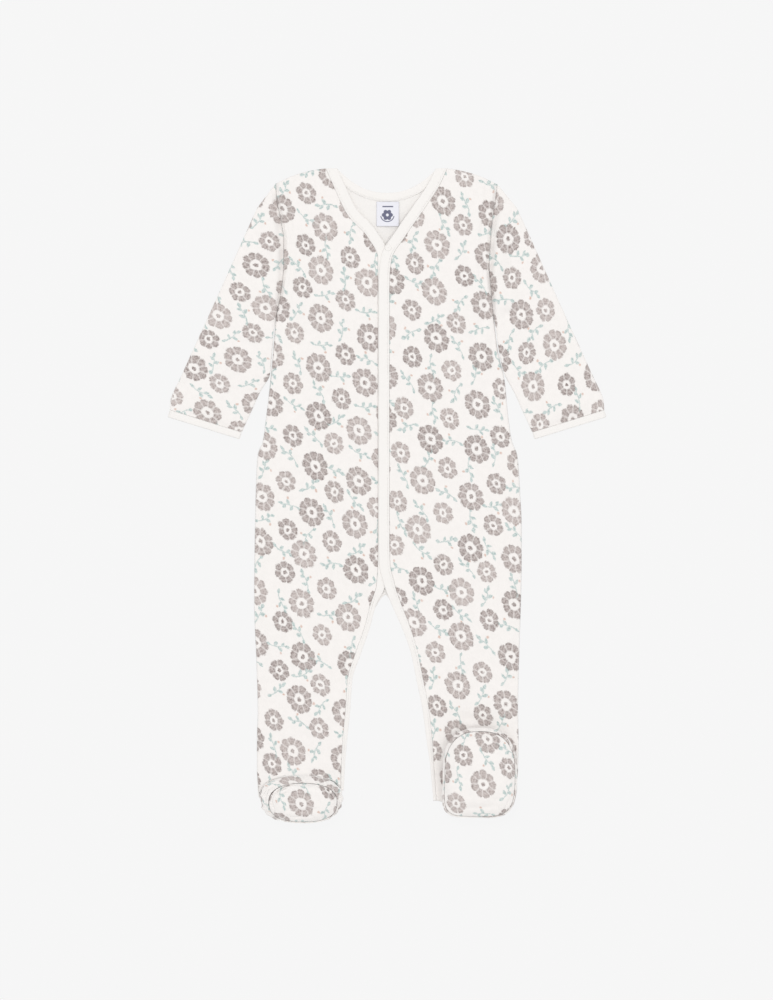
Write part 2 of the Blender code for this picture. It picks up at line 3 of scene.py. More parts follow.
import math
from collections import namedtuple
from functools import partial, partialmethod

import bmesh
import bpy
import numpy as np
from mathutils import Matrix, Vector


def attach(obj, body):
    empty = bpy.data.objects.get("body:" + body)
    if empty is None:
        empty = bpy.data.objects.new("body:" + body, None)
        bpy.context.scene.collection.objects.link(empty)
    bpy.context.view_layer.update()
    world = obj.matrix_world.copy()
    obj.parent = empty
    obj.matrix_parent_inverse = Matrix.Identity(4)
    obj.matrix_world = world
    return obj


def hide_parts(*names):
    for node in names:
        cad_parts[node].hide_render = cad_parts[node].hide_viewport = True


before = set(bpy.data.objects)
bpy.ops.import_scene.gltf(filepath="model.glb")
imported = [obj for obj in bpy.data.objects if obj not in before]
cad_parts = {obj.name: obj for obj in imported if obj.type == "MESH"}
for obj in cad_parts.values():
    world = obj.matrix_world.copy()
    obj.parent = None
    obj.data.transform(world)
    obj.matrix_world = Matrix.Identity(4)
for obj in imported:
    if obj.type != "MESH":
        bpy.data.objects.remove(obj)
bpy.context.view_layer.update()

# ----
# Sizes in millimetres, most of them the solids' own. A pair that is given to smoothstep says where a
# change starts and where it ends.

MM = 0.001
VELOUR = 1.5
JERSEY = 1.8
SEAM = 0.3
SLACK = 0.6
TOUCH = 0.06  # between pieces that meet at a seam
SHELL = 1.2  # thickness of the modelled cloth
FRONT_REST = VELOUR + SLACK
FRONT_TOP = FRONT_REST + VELOUR
SIDE_REST = VELOUR + SEAM
LAP_RISE = JERSEY + SEAM


def table(kind, *rows):
    return [kind(*row) for row in rows]


# One row per station down a front, shoulder to ankle: its side edge, the seam of its binding, the
# width of the binding that shows, and how far the row bows towards the head.
FrontRow = namedtuple("FrontRow", "side_x side_y seam_x seam_y binding bow", defaults=(10.0, 0.0))
FRONT_RIGHT = table(
    FrontRow,
    (-103.2, 289.2, -57, 303.5, 9.5, 2.5),
    (-102.6, 277, -48.8, 285, 10, 1),
    (-98.8, 256.2, -36.5, 260),
    (-95.8, 236, -18.3, 239.9),
    (-95.9, 213, -8.6, 220),
    (-98.4, 190, -8.4, 195),
    (-103.4, 163, -8.4, 166),
    (-105.8, 134, -8.4, 135),
    (-108.5, 106, -8.4, 106),
    (-112, 76, -8.4, 76),
    (-115.4, 51, -8.4, 51),
    (-120.4, 36, -8.4, 36),
    (-122, 5, -8.4, 5),
    (-122.8, -30, -8.4, -30),
    (-123.3, -62, -8.5, -60, 9.6),
    (-123.6, -84, -9.6, -82, 8.4),
    (-123.6, -104, -15.6, -102, 5.2),
    (-123, -122, -20.4, -121, 5),
    (-121.8, -146, -29, -146, 5),
    (-120.9, -172, -36.6, -171, 4.5),
    (-120.2, -200, -38.6, -199, 4.5),
    (-121, -228, -41.2, -227, 4.2),
    (-121, -254, -42.6, -251, 3.6),
    (-118.9, -279, -43.2, -274.4, 3),
)
FRONT_LEFT = table(
    FrontRow,
    (102, 288.6, 56, 303.5, 9.5, 2.5),
    (100.8, 276, 47.8, 286, 10, 1),
    (97.8, 256.2, 33, 263.5),
    (96, 236, 16.7, 239.9),
    (94.8, 213, 4.2, 218.5),
    (96.8, 190, 2.3, 195),
    (99.4, 163, 2.3, 166),
    (103, 134, 2.3, 135),
    (109.4, 106, 2.3, 106),
    (112.4, 76, 2.3, 76),
    (116, 51, 2.3, 51),
    (121.2, 36, 2.3, 36),
    (123.6, 5, 2.3, 5),
    (125.2, -30, 2.3, -30),
    (125.2, -62, 2.6, -60),
    (124.9, -84, 6.8, -82, 9.4),
    (124.4, -104, 13.4, -102, 8.4),
    (123.8, -122, 20.8, -121, 7.4),
    (123, -146, 28.4, -146, 6.4),
    (122.2, -172, 33.4, -171, 6.2),
    (121.8, -200, 38.9, -199, 6),
    (122.3, -228, 42, -227, 5.4),
    (121.8, -256, 43.8, -254, 3.4),
    (117, -284, 46, -284, 3, -5),
)
LAST_ROW = len(FRONT_RIGHT) - 1
CROTCH_ROW = 15
CROTCH = (-1.2, -86.5)
CROTCH_FULLNESS = 0.55
NECK_TOP = 303.5
NECK_DEPTH = 30.5
NECK_FULLNESS = 2.2
NECK_FADE = (1.0, 0.62, 0.28, 0.08)  # how strongly the neck's curve bends each of the back's rows
BACK_NECK_BINDING = 8.0
BACK_EDGE = 2.4  # the back's edges turn up to the fronts within this

ARMHOLE_ROWS = 6
ARMHOLE_RAMP = (ARMHOLE_ROWS + 0.2, ARMHOLE_ROWS - 0.9)
ARMHOLE_PUFF = 2.7
ARMHOLE_RISE, ARMHOLE_FALL = (0.0, 3.4), (36.0, 9.0)
Ridge = namedtuple("Ridge", "place width height")
ROLL = (Ridge(3.6, 2.0, 0.7), Ridge(8.4, 2.4, -1.05))  # over the turnings of an armhole's seam
PUFF_HEIGHT = 2.2
PUFF_REACH = 14.0
PUFF_FALL = 38.0
PUFF_REST = 0.5
LAP_TOP, LAP_BOTTOM = (274.0, 244.0), (-104.0, -86.0)
LAP_SLOPE_WIDTH = 16.0
ANKLE_RISE = 5.0
ANKLE_RAMP = (-242.0, -260.0)
ANKLE_FULLNESS = 0.8
ANKLE_ROWS = 3
TURN_UP, TURN_UP_REACH = 2.4, 5.0  # where the right leg's end turns up against its foot
FOOT_CLEARANCE = -0.2
UNDER_FOOT = (1.25, 1.0)  # of the left foot's size, where the leg is pressed flat

# The sleeve, armhole to cuff: the fold over the arm, and the edge under it, which lies against the
# body where it has no x of its own. Both x are distances from the middle.
SleeveRow = namedtuple("SleeveRow", "fold_x fold_y under_y under_x", defaults=(None,))
SLEEVE = table(
    SleeveRow,
    (121, 266.5, 152),
    (136.5, 232, 140),
    (150.9, 200, 127),
    (164.8, 169, 112),
    (177.8, 140.5, 95, 118.2),
    (190.3, 113, 77, 126.3),
    (201.2, 88.5, 63.5, 132.6),
    (202, 79.2, 58.4, 134.9),
)
CUFF_LENGTH = 7.0
CUFF_SLACK = 0.7
CUFF_WALL = 1.5
CUFF_RAMP = (len(SLEEVE) - 1.2, len(SLEEVE))
SLEEVE_PUFF = 2.9
SLEEVE_HEAD = 2.8
HEAD_RISE, HEAD_FALL = (0.5, 11.0), (44.0, 13.0)
SLEEVE_TURN = math.radians(24.0)  # of its grain against the body's
SLEEVE_BEND = 5.6  # the cloth that the bend under the arm takes up
LEFT_FOLDS_LOWER = 7.0

# A foot's outline is a rounded oblong, squarer at the toe, where it may lean aside. A row is one of its
# rings: its size against the outline, its height above where the foot rests, how far it is moved, and
# how much higher it is on the side of the leg.
Foot = namedtuple("Foot", "x y half_width half_length rest squareness toe_squareness toe_lean")
FootRow = namedtuple("FootRow", "scale height shift_y shift_x leg_rise", defaults=(0.0, 0.0, 0.0))
FOOT_RIGHT = Foot(-79.6, -281.4, 38.6, 21.9, SIDE_REST, 2.3, 2.5, 0.0)
FOOT_RIGHT_UPPER = table(
    FootRow,
    (0.92, 0, 0, 0, 5),
    (0.99, 4.6, 0, 0, 4.4),
    (0.985, 9.6, -0.4, 0.2, 4),
    (0.927, 14.6, -1.5, 0.8, 3.6),
    (0.83, 18.6, -3, 1.8, 3.2),
    (0.822, 16.8, -3, 1.8, 3.3),
)
FOOT_RIGHT_SOLE = table(
    FootRow,
    (0.813, 18.8, -3.1, 1.85, 3.15),
    (0.79, 20, -3.2, 1.95, 2.85),
    (0.69, 23.6, -2.4, 1.6, 2.2),
    (0.50, 26.4, -1.2, 0.8, 1.2),
    (0.25, 27.4, 0, 0, 0.4),
)
FOOT_LEFT = Foot(86.0, -257.2, 34.6, 41.8, 5.95, 2.5, 4.5, -3.2)
FOOT_LEFT_UPPER = table(
    FootRow,
    (0.30, 0),
    (0.66, 0.2),
    (0.90, 1.4),
    (0.99, 5.4),
    (1, 10),
    (0.945, 14.6, -0.8),
    (0.938, 13.2, -0.85),
)
FOOT_LEFT_SOLE = table(
    FootRow,
    (0.934, 14.9, -0.85),
    (0.905, 15.9, -0.9),
    (0.80, 18.9, -0.8),
    (0.58, 21.6, -0.4),
    (0.30, 22.8),
)
LEG_SIDE = (0.1, 0.95)  # the sines of the angles between which a ring climbs
# The back's end turns up round each heel and is sewn to one ring of the foot's upper.
Heel = namedtuple("Heel", "foot ring")
HEEL_RIGHT = Heel(FOOT_RIGHT, FOOT_RIGHT_UPPER[0])
HEEL_LEFT = Heel(FOOT_LEFT, FOOT_LEFT_UPPER[2])
HEEL_SEAM = 0.2
HEEL_SWELL = 0.2
HEEL_ROWS = 10
HEEL_WIDTH = 3.0

LABEL_SIZE = (21.0, 23.0)
LABEL_CENTRE = (0.7, 261.2)
LABEL_THICKNESS = 0.35
SNAP_RADIUS = 3.3
SNAP_PLACE = (1.0, 229.6)
SNAP_THICKNESS = 0.4
# The cap's section: its size against the radius, and its height above the binding.
SNAP_SECTION = (
    (1, -0.2), (0.985, 0.3), (0.93, 0.72), (0.84, 0.9), (0.74, 0.86),
    (0.62, 0.66), (0.45, 0.58), (0.25, 0.56), (0.02, 0.56),
)

# ----
# Numbers and curves, all on arrays.


def smoothstep(value, start, end):
    """0 before start and 1 after end, softly; start may be the larger."""
    t = np.clip((np.asarray(value, float) - start) / (end - start), 0.0, 1.0)
    return t * t * (3.0 - 2.0 * t)


def lerp(a, b, t):
    return a + (b - a) * t


def bell(distance, width):
    return np.exp(-((distance / width) ** 2))


def signed_power(value, power):
    return np.sign(value) * np.abs(value) ** power


def unit(vectors):
    return vectors / np.linalg.norm(vectors, axis=-1, keepdims=True)


def points_of(*parts):
    """Points from their coordinates, each an array or a number."""
    return np.stack(np.broadcast_arrays(*parts), axis=-1)


def sums(steps):
    """The sum of the steps so far, from 0, down each column."""
    return np.concatenate([np.zeros_like(steps[:1]), np.cumsum(steps, axis=0)])


def gone(points):
    """How far each point is from the first one, along its line or down its column."""
    return sums(np.linalg.norm(np.diff(points, axis=0), axis=-1))


def curve(values, places):
    """A cubic through all values at fractional indices, which never overshoots them."""
    values = np.asarray(values, float)
    steps = np.diff(values)
    slopes = np.zeros(len(values))
    slopes[0], slopes[-1] = steps[0], steps[-1]
    product = steps[:-1] * steps[1:]
    total = np.where(product > 0.0, steps[:-1] + steps[1:], 1.0)
    slopes[1:-1] = np.where(product > 0.0, 2.0 * product / total, 0.0)
    i = np.clip(places.astype(int), 0, len(values) - 2)
    t = places - i
    t2, t3 = t * t, t * t * t
    result = (2 * t3 - 3 * t2 + 1) * values[i] + (t3 - 2 * t2 + t) * slopes[i]
    return result + (3 * t2 - 2 * t3) * values[i + 1] + (t3 - t2) * slopes[i + 1]


def columns(rows, places, names):
    """Some of a table's columns, at fractional rows."""
    return [curve([getattr(row, name) for row in rows], places) for name in names.split()]


def upright(last, count):
    """Places from 0 to last, one to a row of a grid."""
    return np.linspace(0.0, last, count)[:, None]


def round_edge(distance, radius):
    """1 at an edge and 0 from radius inwards, along a quarter circle."""
    t = 1.0 - np.clip(distance / radius, 0.0, 1.0)
    return 1.0 - np.sqrt(np.maximum(0.0, 1.0 - t * t))


def spread(count, crowding):
    """Places from 0 to 1, crowded towards both ends."""
    t = np.linspace(0.0, 1.0, count)
    return lerp(t, 0.5 - 0.5 * np.cos(np.pi * t), crowding)


# ----
# Folds. Each is a soft ridge or, with a height below zero, a trough, straight or bent.

Fold = namedtuple("Fold", "x y angle length width height bend")
BODY_FOLDS = table(
    Fold,
    (-86, 160, 128, 62, 6, -1.5, 5),
    (-78, 176, 118, 70, 6.5, 1.3, 6),
    (-90, 196, 104, 66, 5, -1.1, -4),
    (-84, 128, 142, 58, 7.5, 1, 5),
    (-92, 104, 152, 44, 6, -0.9, -3),
    (-60, 236, 66, 60, 8, 0.8, 4),
    (-40, 206, 82, 74, 9, -0.6, -5),
    (-30, 128, 94, 96, 9, 0.6, 4),
    (-62, 62, 76, 110, 11, -0.6, 7),
    (-92, 24, 98, 86, 8, 0.7, -5),
    (-40, 8, 100, 92, 10, 0.6, 5),
    (-28, -44, 118, 66, 7, -0.9, -4),
    (-46, -66, 134, 72, 7.5, 0.9, 6),
    (-70, -84, 152, 60, 7, -0.7, 5),
    (-24, -84, 112, 34, 4, 0.8, 0),
    (88, 158, 54, 60, 6, -1.5, -5),
    (80, 178, 64, 74, 6.5, 1.3, -6),
    (90, 204, 78, 60, 5, -1, 4),
    (84, 122, 40, 60, 7, 1, -5),
    (94, 98, 30, 42, 6, -0.9, 3),
    (62, 240, 114, 62, 8, 0.8, -4),
    (38, 202, 96, 70, 9, -0.6, 5),
    (28, 120, 84, 100, 9, 0.6, -4),
    (60, 54, 104, 104, 11, -0.6, -7),
    (94, 18, 84, 84, 8, 0.7, 5),
    (38, 2, 78, 96, 10, 0.6, -5),
    (30, -48, 60, 64, 7, -0.9, 4),
    (50, -70, 44, 70, 7.5, 0.9, -6),
    (74, -88, 28, 58, 7, -0.7, -5),
    (27, -86, 66, 34, 4, 0.8, 0),
    (-84, -132, 96, 80, 9, 0.7, 5),
    (-58, -150, 72, 66, 7, -0.8, -4),
    (-98, -176, 84, 70, 8, -0.6, 4),
    (-72, -206, 104, 64, 8, 0.8, 5),
    (-56, -226, 62, 46, 5, -1.1, -3),
    (-98, -232, 118, 44, 5, -1.1, 3),
    (-80, -243, 8, 56, 4.5, -1.2, 4),
    (-108, -252, 132, 30, 3.5, 1, 2),
    (-52, -252, 48, 28, 3.5, 1, -2),
    (86, -128, 82, 82, 9, 0.7, -5),
    (60, -152, 110, 60, 7, -0.8, 4),
    (102, -170, 96, 66, 8, -0.6, -4),
    (70, -190, 78, 56, 7, 0.8, -4),
    (58, -206, 128, 42, 5, -1.1, 3),
    (106, -208, 66, 38, 5, -1, -3),
    (82, -209, 172, 54, 4.5, -1.3, -4),
)
BACK_FOLDS = table(
    Fold,
    (-70, 170, 60, 90, 6, 0.7, 5),
    (64, 150, 118, 96, 6, 0.7, -5),
    (-20, 60, 82, 120, 7, 0.6, 6),
    (46, 10, 100, 110, 7, 0.6, -6),
    (-40, -60, 132, 70, 5, 0.8, 4),
    (38, -64, 48, 66, 5, 0.8, -4),
    (-82, -170, 88, 90, 6, 0.6, 4),
    (80, -160, 94, 84, 6, 0.6, -4),
    (-70, -236, 12, 50, 4, 0.8, 3),
    (76, -232, 168, 50, 4, 0.8, -3),
)
# The right sleeve's, in the right sleeve's place; the left one's are mirrored and lie a little lower.
SLEEVE_FOLDS = table(
    Fold,
    (-112, 176, 152, 46, 4.5, -1.8, 5),
    (-116, 192, 138, 52, 5.5, 1.4, 6),
    (-110, 216, 116, 58, 5, -1.2, -5),
    (-122, 158, 166, 40, 5, 1.2, 4),
    (-124, 138, 176, 40, 5, -1.4, -4),
    (-138, 172, 42, 60, 7, 0.9, 6),
    (-150, 150, 52, 54, 6, -1, -5),
    (-146, 116, 70, 50, 6.5, 0.9, 4),
    (-166, 116, 56, 46, 6, -0.9, 4),
    (-160, 88, 66, 40, 6, 0.8, -3),
    (-182, 96, 62, 36, 4.5, -0.7, 2),
    (-144, 80, 78, 34, 4.5, -0.8, 2),
)
SOLE_RIGHT_FOLDS = table(
    Fold,
    (-80, -273.6, 10, 34, 2.6, 1.2, -4),
    (-102, -281, 58, 18, 1.6, -1.6, 2),
    (-94, -276, 24, 22, 1.4, -1.8, 2),
    (-56, -276, 132, 20, 2.2, -1.4, -2),
    (-79, -291.6, 2, 52, 2.4, -1, 3),
)
SOLE_LEFT_FOLDS = table(
    Fold,
    (84, -222.5, 4, 44, 2.2, -1.2, -5),
    (108, -232, 126, 26, 2.2, -1.2, -2),
    (60, -246, 84, 34, 3, -0.9, 2),
    (92, -262, 12, 44, 8, -1, 4),
    (74, -282, 168, 40, 4, 0.9, -3),
    (100, -284, 30, 30, 4, -0.9, 2),
    (74, -240, 118, 36, 6, 0.7, 3),
)
# A crease runs round a foot: at a ring's size, from one angle to another in degrees.
Crease = namedtuple("Crease", "scale width depth from_angle to_angle wander")
CREASES_RIGHT = table(
    Crease,
    (0.750, 0.022, 2.9, 98, 160, 0.016),
    (0.690, 0.020, 2, 116, 156, -0.018),
    (0.740, 0.020, 2.3, 4, 64, -0.014),
    (0.730, 0.020, 1.6, 166, 208, 0.012),
    (0.650, 0.030, 1, 236, 292, 0.020),
    (0.905, 0.012, 2.3, 122, 200, 0.008),
    (0.900, 0.012, 2.2, -24, 50, -0.006),
    (0.950, 0.010, 1.8, 140, 172, 0.006),
    (0.945, 0.010, 1.6, 14, 40, -0.006),
)
CREASES_LEFT = table(
    Crease,
    (0.880, 0.016, 0.9, 60, 112, 0.010),
    (0.860, 0.018, 0.8, -62, -22, 0.012),
    (0.870, 0.016, 0.7, 196, 250, -0.010),
    (0.760, 0.040, 0.7, 228, 300, 0.030),
)
WAVES = ((0.061, 0.4, 0.30), (0.094, 1.7, 0.22), (0.137, 2.9, 0.14), (0.211, 0.9, 0.08))


def folds_at(x, y, folds):
    """The height that a list of folds adds at each point."""
    total = np.zeros(np.shape(x))
    for fold in folds:
        angle = math.radians(fold.angle)
        along = (x - fold.x) * math.cos(angle) + (y - fold.y) * math.sin(angle)
        across = (y - fold.y) * math.cos(angle) - (x - fold.x) * math.sin(angle)
        reach = np.clip(1.0 - (2.0 * along / fold.length) ** 2, 0.0, 1.0)
        total += fold.height * bell(across - fold.bend * (1.0 - reach), fold.width) * reach**1.5
    return total


def ripple(x, y, seed):
    """The slight unevenness of cloth that was smoothed out by hand."""
    total = np.zeros(np.shape(x))
    for k, (pitch, turn, height) in enumerate(WAVES):
        angle = turn + seed * 1.3 + k * 0.8
        lead = x * math.cos(angle) + y * math.sin(angle)
        side = y * math.cos(angle) - x * math.sin(angle)
        total += height * np.sin(lead * pitch + 1.6 * np.sin(side * pitch * 0.55 + seed) + seed * 2.1 + k)
    return total


# ----
# Meshes.


def new_object(name, points, faces, pattern, materials):
    """A smooth piece; points in millimetres, pattern gives each point's place on the cloth."""
    mesh = bpy.data.meshes.new(name)
    faces = np.reshape(faces, (-1, 4))
    mesh.from_pydata(np.reshape(points, (-1, 3)) * MM, [], faces, shade_flat=False)
    layer = mesh.uv_layers.new(name="cloth")
    layer.data.foreach_set("uv", np.reshape(pattern, (-1, 2))[faces.ravel()].astype(np.float32).ravel())
    for material in materials:
        mesh.materials.append(material)
    mesh.validate()
    piece = bpy.data.objects.new(name, mesh)
    bpy.context.scene.collection.objects.link(piece)
    return piece


def grid_faces(rows, wide, closed=False, flip=False):
    """Quads of a grid of points; closed joins the last column to the first."""
    first = np.arange(rows - 1)[:, None] * wide
    column = np.arange(wide if closed else wide - 1)
    after = (column + 1) % wide
    corners = (first + column, first + after, first + after + wide, first + column + wide)
    return np.stack(corners, axis=-1).reshape(-1, 4)[:, :: -1 if flip else 1]


def thicken(piece, thickness, weld=False):
    """Gives an open surface its thickness, inwards, with the second material inside if there is one;
    weld first joins points that lie on each other, and each face keeps its own place on the cloth."""
    if weld:
        piece.modifiers.new("joined", "WELD").merge_threshold = 0.000004
    wall = piece.modifiers.new("thickness", "SOLIDIFY")
    wall.thickness = thickness * MM
    wall.offset = -1.0
    wall.material_offset = len(piece.data.materials) - 1
    return piece


def close_ends(piece, rows, wide):
    """Caps both open ends of a tube, and turns all faces out."""
    mesh = bmesh.new()
    mesh.from_mesh(piece.data)
    mesh.verts.ensure_lookup_table()
    for first in (0, (rows - 1) * wide):
        mesh.faces.new(mesh.verts[first : first + wide])
    bmesh.ops.recalc_face_normals(mesh, faces=mesh.faces[:])
    mesh.to_mesh(piece.data)
    mesh.free()


# ----
# The fronts and the back. A side is -1 for the wearer's right and 1 for the left.


def foot_edge(foot, x):
    """The y of a foot's outline on the side of the leg at this x."""
    share = np.minimum(1.0, np.abs((x - foot.x) / foot.half_width))
    return foot.y + foot.half_length * (1.0 - share**foot.squareness) ** (1.0 / foot.squareness)


def foot_inside(foot, x, y):
    """1 under a foot and 0 well outside it."""
    n = foot.squareness
    ring = np.abs((x - foot.x) / foot.half_width) ** n + np.abs((y - foot.y) / foot.half_length) ** n
    return smoothstep(ring ** (1.0 / n), *UNDER_FOOT)


def lap(y):
    """How much of the left front's lap there is at this height."""
    return smoothstep(y, *LAP_TOP) * smoothstep(y, *LAP_BOTTOM)


def puff(distance):
    """How much a front rises at this distance from its side seam."""
    fall = smoothstep(distance, PUFF_REACH, PUFF_REACH + PUFF_FALL)
    return lerp(PUFF_HEIGHT, PUFF_REST, fall) * smoothstep(distance, 0.0, PUFF_REACH)


def front_points(front, places, across):
    """x and y of a front's points, and how far each is from the side edge and from the seam."""
    side_x, side_y, seam_x, seam_y, bow = columns(front, places, "side_x side_y seam_x seam_y bow")
    x = lerp(side_x, seam_x, across)
    y = lerp(side_y, seam_y, across) + bow * np.sin(np.pi * across)
    if front is FRONT_RIGHT:
        outline = foot_edge(FOOT_RIGHT, x) + FOOT_CLEARANCE
        y = y + np.maximum(0.0, outline - y) * smoothstep(places, LAST_ROW - ANKLE_ROWS, LAST_ROW)
    width = np.hypot(seam_x - side_x, seam_y - side_y)
    return x, y, across * width, (1.0 - across) * width


def front_top(front, places, across):
    """The upper surface of a front."""
    x, y, to_side, to_seam = front_points(front, places, across)
    sewn = smoothstep(places, *ARMHOLE_RAMP)
    full = ARMHOLE_PUFF * smoothstep(to_side, *ARMHOLE_RISE) * smoothstep(to_side, *ARMHOLE_FALL)
    for ridge in ROLL:
        full = full + ridge.height * bell(to_side - ridge.place, ridge.width)
    swell = puff(to_side) + sewn * np.maximum(-0.4, full - 0.45 * puff(to_side))
    z = FRONT_TOP + swell * smoothstep(to_seam, 2.0, PUFF_REACH)
    calm = smoothstep(to_side, lerp(1.0, 4.0, sewn), lerp(9.0, 15.0, sewn)) * smoothstep(to_seam, 1.0, 8.0)
    if front is FRONT_LEFT:
        z = z + LAP_RISE * lap(y) * smoothstep(to_seam, LAP_SLOPE_WIDTH, 0.0)
        under_foot = foot_inside(FOOT_LEFT, x, y)
        z = lerp(z, FRONT_TOP, under_foot)
        calm = calm * (1.0 - under_foot)
    else:
        middle = np.maximum(0.0, np.sin(np.pi * across)) ** ANKLE_FULLNESS
        to_foot = np.maximum(0.0, y - foot_edge(FOOT_RIGHT, x))
        z = z + ANKLE_RISE * smoothstep(y, *ANKLE_RAMP) * middle
        z = z + TURN_UP * round_edge(to_foot, TURN_UP_REACH) * middle
    seed = 1.0 if front is FRONT_RIGHT else 2.0
    z = z + calm * (folds_at(x, y, BODY_FOLDS) + ripple(x, y, seed))
    z = np.maximum(z, FRONT_TOP - 0.35)
    z = z - lerp(2.0, 0.8, sewn) * round_edge(to_side, lerp(1.7, 2.0, sewn))
    return x, y, z - 0.15 * round_edge(to_seam, 1.0)


def make_front(name, front, origin, materials):
    x, y, z = front_top(front, upright(LAST_ROW, 16 * LAST_ROW + 1), spread(64, 0.55))
    faces = grid_faces(*x.shape, flip=front is FRONT_RIGHT)
    return thicken(new_object(name, points_of(x, y, z), faces, points_of(x, y) + origin, materials), SHELL)


def heel_edge(heel, x):
    """The y of a heel's seam at each x, and the foot's middle where the foot doesn't reach."""
    foot, ring = heel
    angle = np.linspace(-np.pi, 0.0, 181)
    power = 2.0 / foot.toe_squareness
    along = signed_power(np.sin(angle), power)
    wide = foot.half_width * signed_power(np.cos(angle), power) + foot.toe_lean * along**2
    ring_x = foot.x + ring.scale * wide
    ring_y = foot.y + foot.half_length * ring.scale * along
    first = np.argmin(ring_x)
    return np.interp(x, ring_x[first:], ring_y[first:], left=foot.y, right=foot.y)


def neck_drop(x):
    """How far the back's neck seam lies below the shoulders at this x, 0 outside the neck."""
    reach = abs(FRONT_RIGHT[0].seam_x)
    return NECK_DEPTH * np.maximum(0.0, 1.0 - (np.abs(x) / reach) ** NECK_FULLNESS)


def back_half(front, heel, across):
    """x, y and z of one half of the back; its end turns up round the heel to the foot's lower edge."""
    shoulder = front[0]
    places = upright(LAST_ROW, 12 * LAST_ROW + 1)
    side_x, side_y = columns(front, places, "side_x side_y")
    leg_x, leg_y = columns(front, np.maximum(places, CROTCH_ROW + 1.0), "seam_x seam_y")
    level = sum(columns(half, places, "seam_y")[0] for half in (FRONT_RIGHT, FRONT_LEFT)) / 2.0
    torso = smoothstep(places, CROTCH_ROW - 2, CROTCH_ROW)
    leg = np.clip(places - CROTCH_ROW, 0.0, 1.0)
    inner_x = np.where(leg > 0.0, lerp(CROTCH[0], leg_x, leg**CROTCH_FULLNESS), CROTCH[0] * torso)
    inner_y = np.where(leg > 0.0, lerp(CROTCH[1], leg_y, leg), lerp(level, CROTCH[1], torso))
    x = lerp(side_x, inner_x, across)
    to_neck = np.minimum(1.0, np.abs(x - side_x) / abs(shoulder.seam_x - shoulder.side_x))
    top = lerp(shoulder.side_y, NECK_TOP, to_neck) - neck_drop(x) + shoulder.bow * np.sin(np.pi * to_neck)
    fade = curve([*NECK_FADE, *[0.0] * (LAST_ROW + 1 - len(NECK_FADE))], places)
    y = lerp(side_y, inner_y, across) + (top - lerp(shoulder.side_y, NECK_TOP, across)) * fade
    beyond = np.maximum(0.0, y - heel_edge(heel, x))
    y = y - beyond * smoothstep(places, LAST_ROW - 1, LAST_ROW)
    to_side = across * np.hypot(inner_x - side_x, inner_y - side_y)
    z = round_edge(to_side, BACK_EDGE) + 0.6 * folds_at(x, y, BACK_FOLDS) * smoothstep(to_side, 2.0, 14.0)
    share = upright(1.0, HEEL_ROWS + 1)[1:]
    rise = (heel.foot.rest + heel.ring.height - HEEL_SEAM) * smoothstep(beyond[-1:], 0.0, HEEL_WIDTH)
    x = np.concatenate([x, x[-1:] + 0.0 * share])
    y = np.concatenate([y, y[-1:] - HEEL_SWELL * rise * np.sin(np.pi * share)])
    return x, y, np.concatenate([z, np.maximum(z[-1:], rise * share**1.5)])


def make_back(materials):
    """The back, from its underside up: it rests on the ground and its edges turn up to the fronts."""
    points, pattern, faces, start = [], [], [], 0
    for front, heel in ((FRONT_RIGHT, HEEL_RIGHT), (FRONT_LEFT, HEEL_LEFT)):
        x, y, z = back_half(front, heel, spread(64, 0.35))
        points.append(points_of(x, y, z))
        pattern.append(points_of(x + 17.0, z - y + 9.0))
        faces.append(grid_faces(*x.shape, flip=front is FRONT_LEFT) + start)
        start += x.size
    piece = new_object("back_cloth", points, np.concatenate(faces), pattern, materials)
    return thicken(piece, SHELL, weld=True)


# ----
# Sleeves and cuffs.


def side_x_at(front, y):
    """The x of a front's side edge at this height."""
    side_x, side_y = columns(front, np.linspace(0.0, LAST_ROW, 40 * len(front)), "side_x side_y")
    return side_x[np.argmin(np.abs(side_y - y))]


def sleeve_ground(front, side, places, across):
    """x and y of a sleeve's points: the armhole at place 0, one row of SLEEVE at each place after."""
    tucked = [side_x_at(front, row.under_y) + side * 3.0 * SEAM for row in SLEEVE]
    under_x = [tuck if row.under_x is None else side * row.under_x for tuck, row in zip(tucked, SLEEVE)]
    rows = np.maximum(0.0, places - 1.0)
    fold_x, fold_y, under_y = columns(SLEEVE, rows, "fold_x fold_y under_y")
    fold, under = (side * fold_x, fold_y), (curve(under_x, rows), under_y)
    hole_x, hole_y = columns(front, ARMHOLE_ROWS * across, "side_x side_y")
    hole = (hole_x + side * TOUCH, hole_y)
    share = np.clip(places, 0.0, 1.0)
    x, y = (lerp(hole[k], lerp(fold[k], under[k], across), share) for k in range(2))
    wide = [lerp(hole[k][-1] - hole[k][0], under[k] - fold[k], share) for k in range(2)]
    return x, y, np.hypot(*wide)


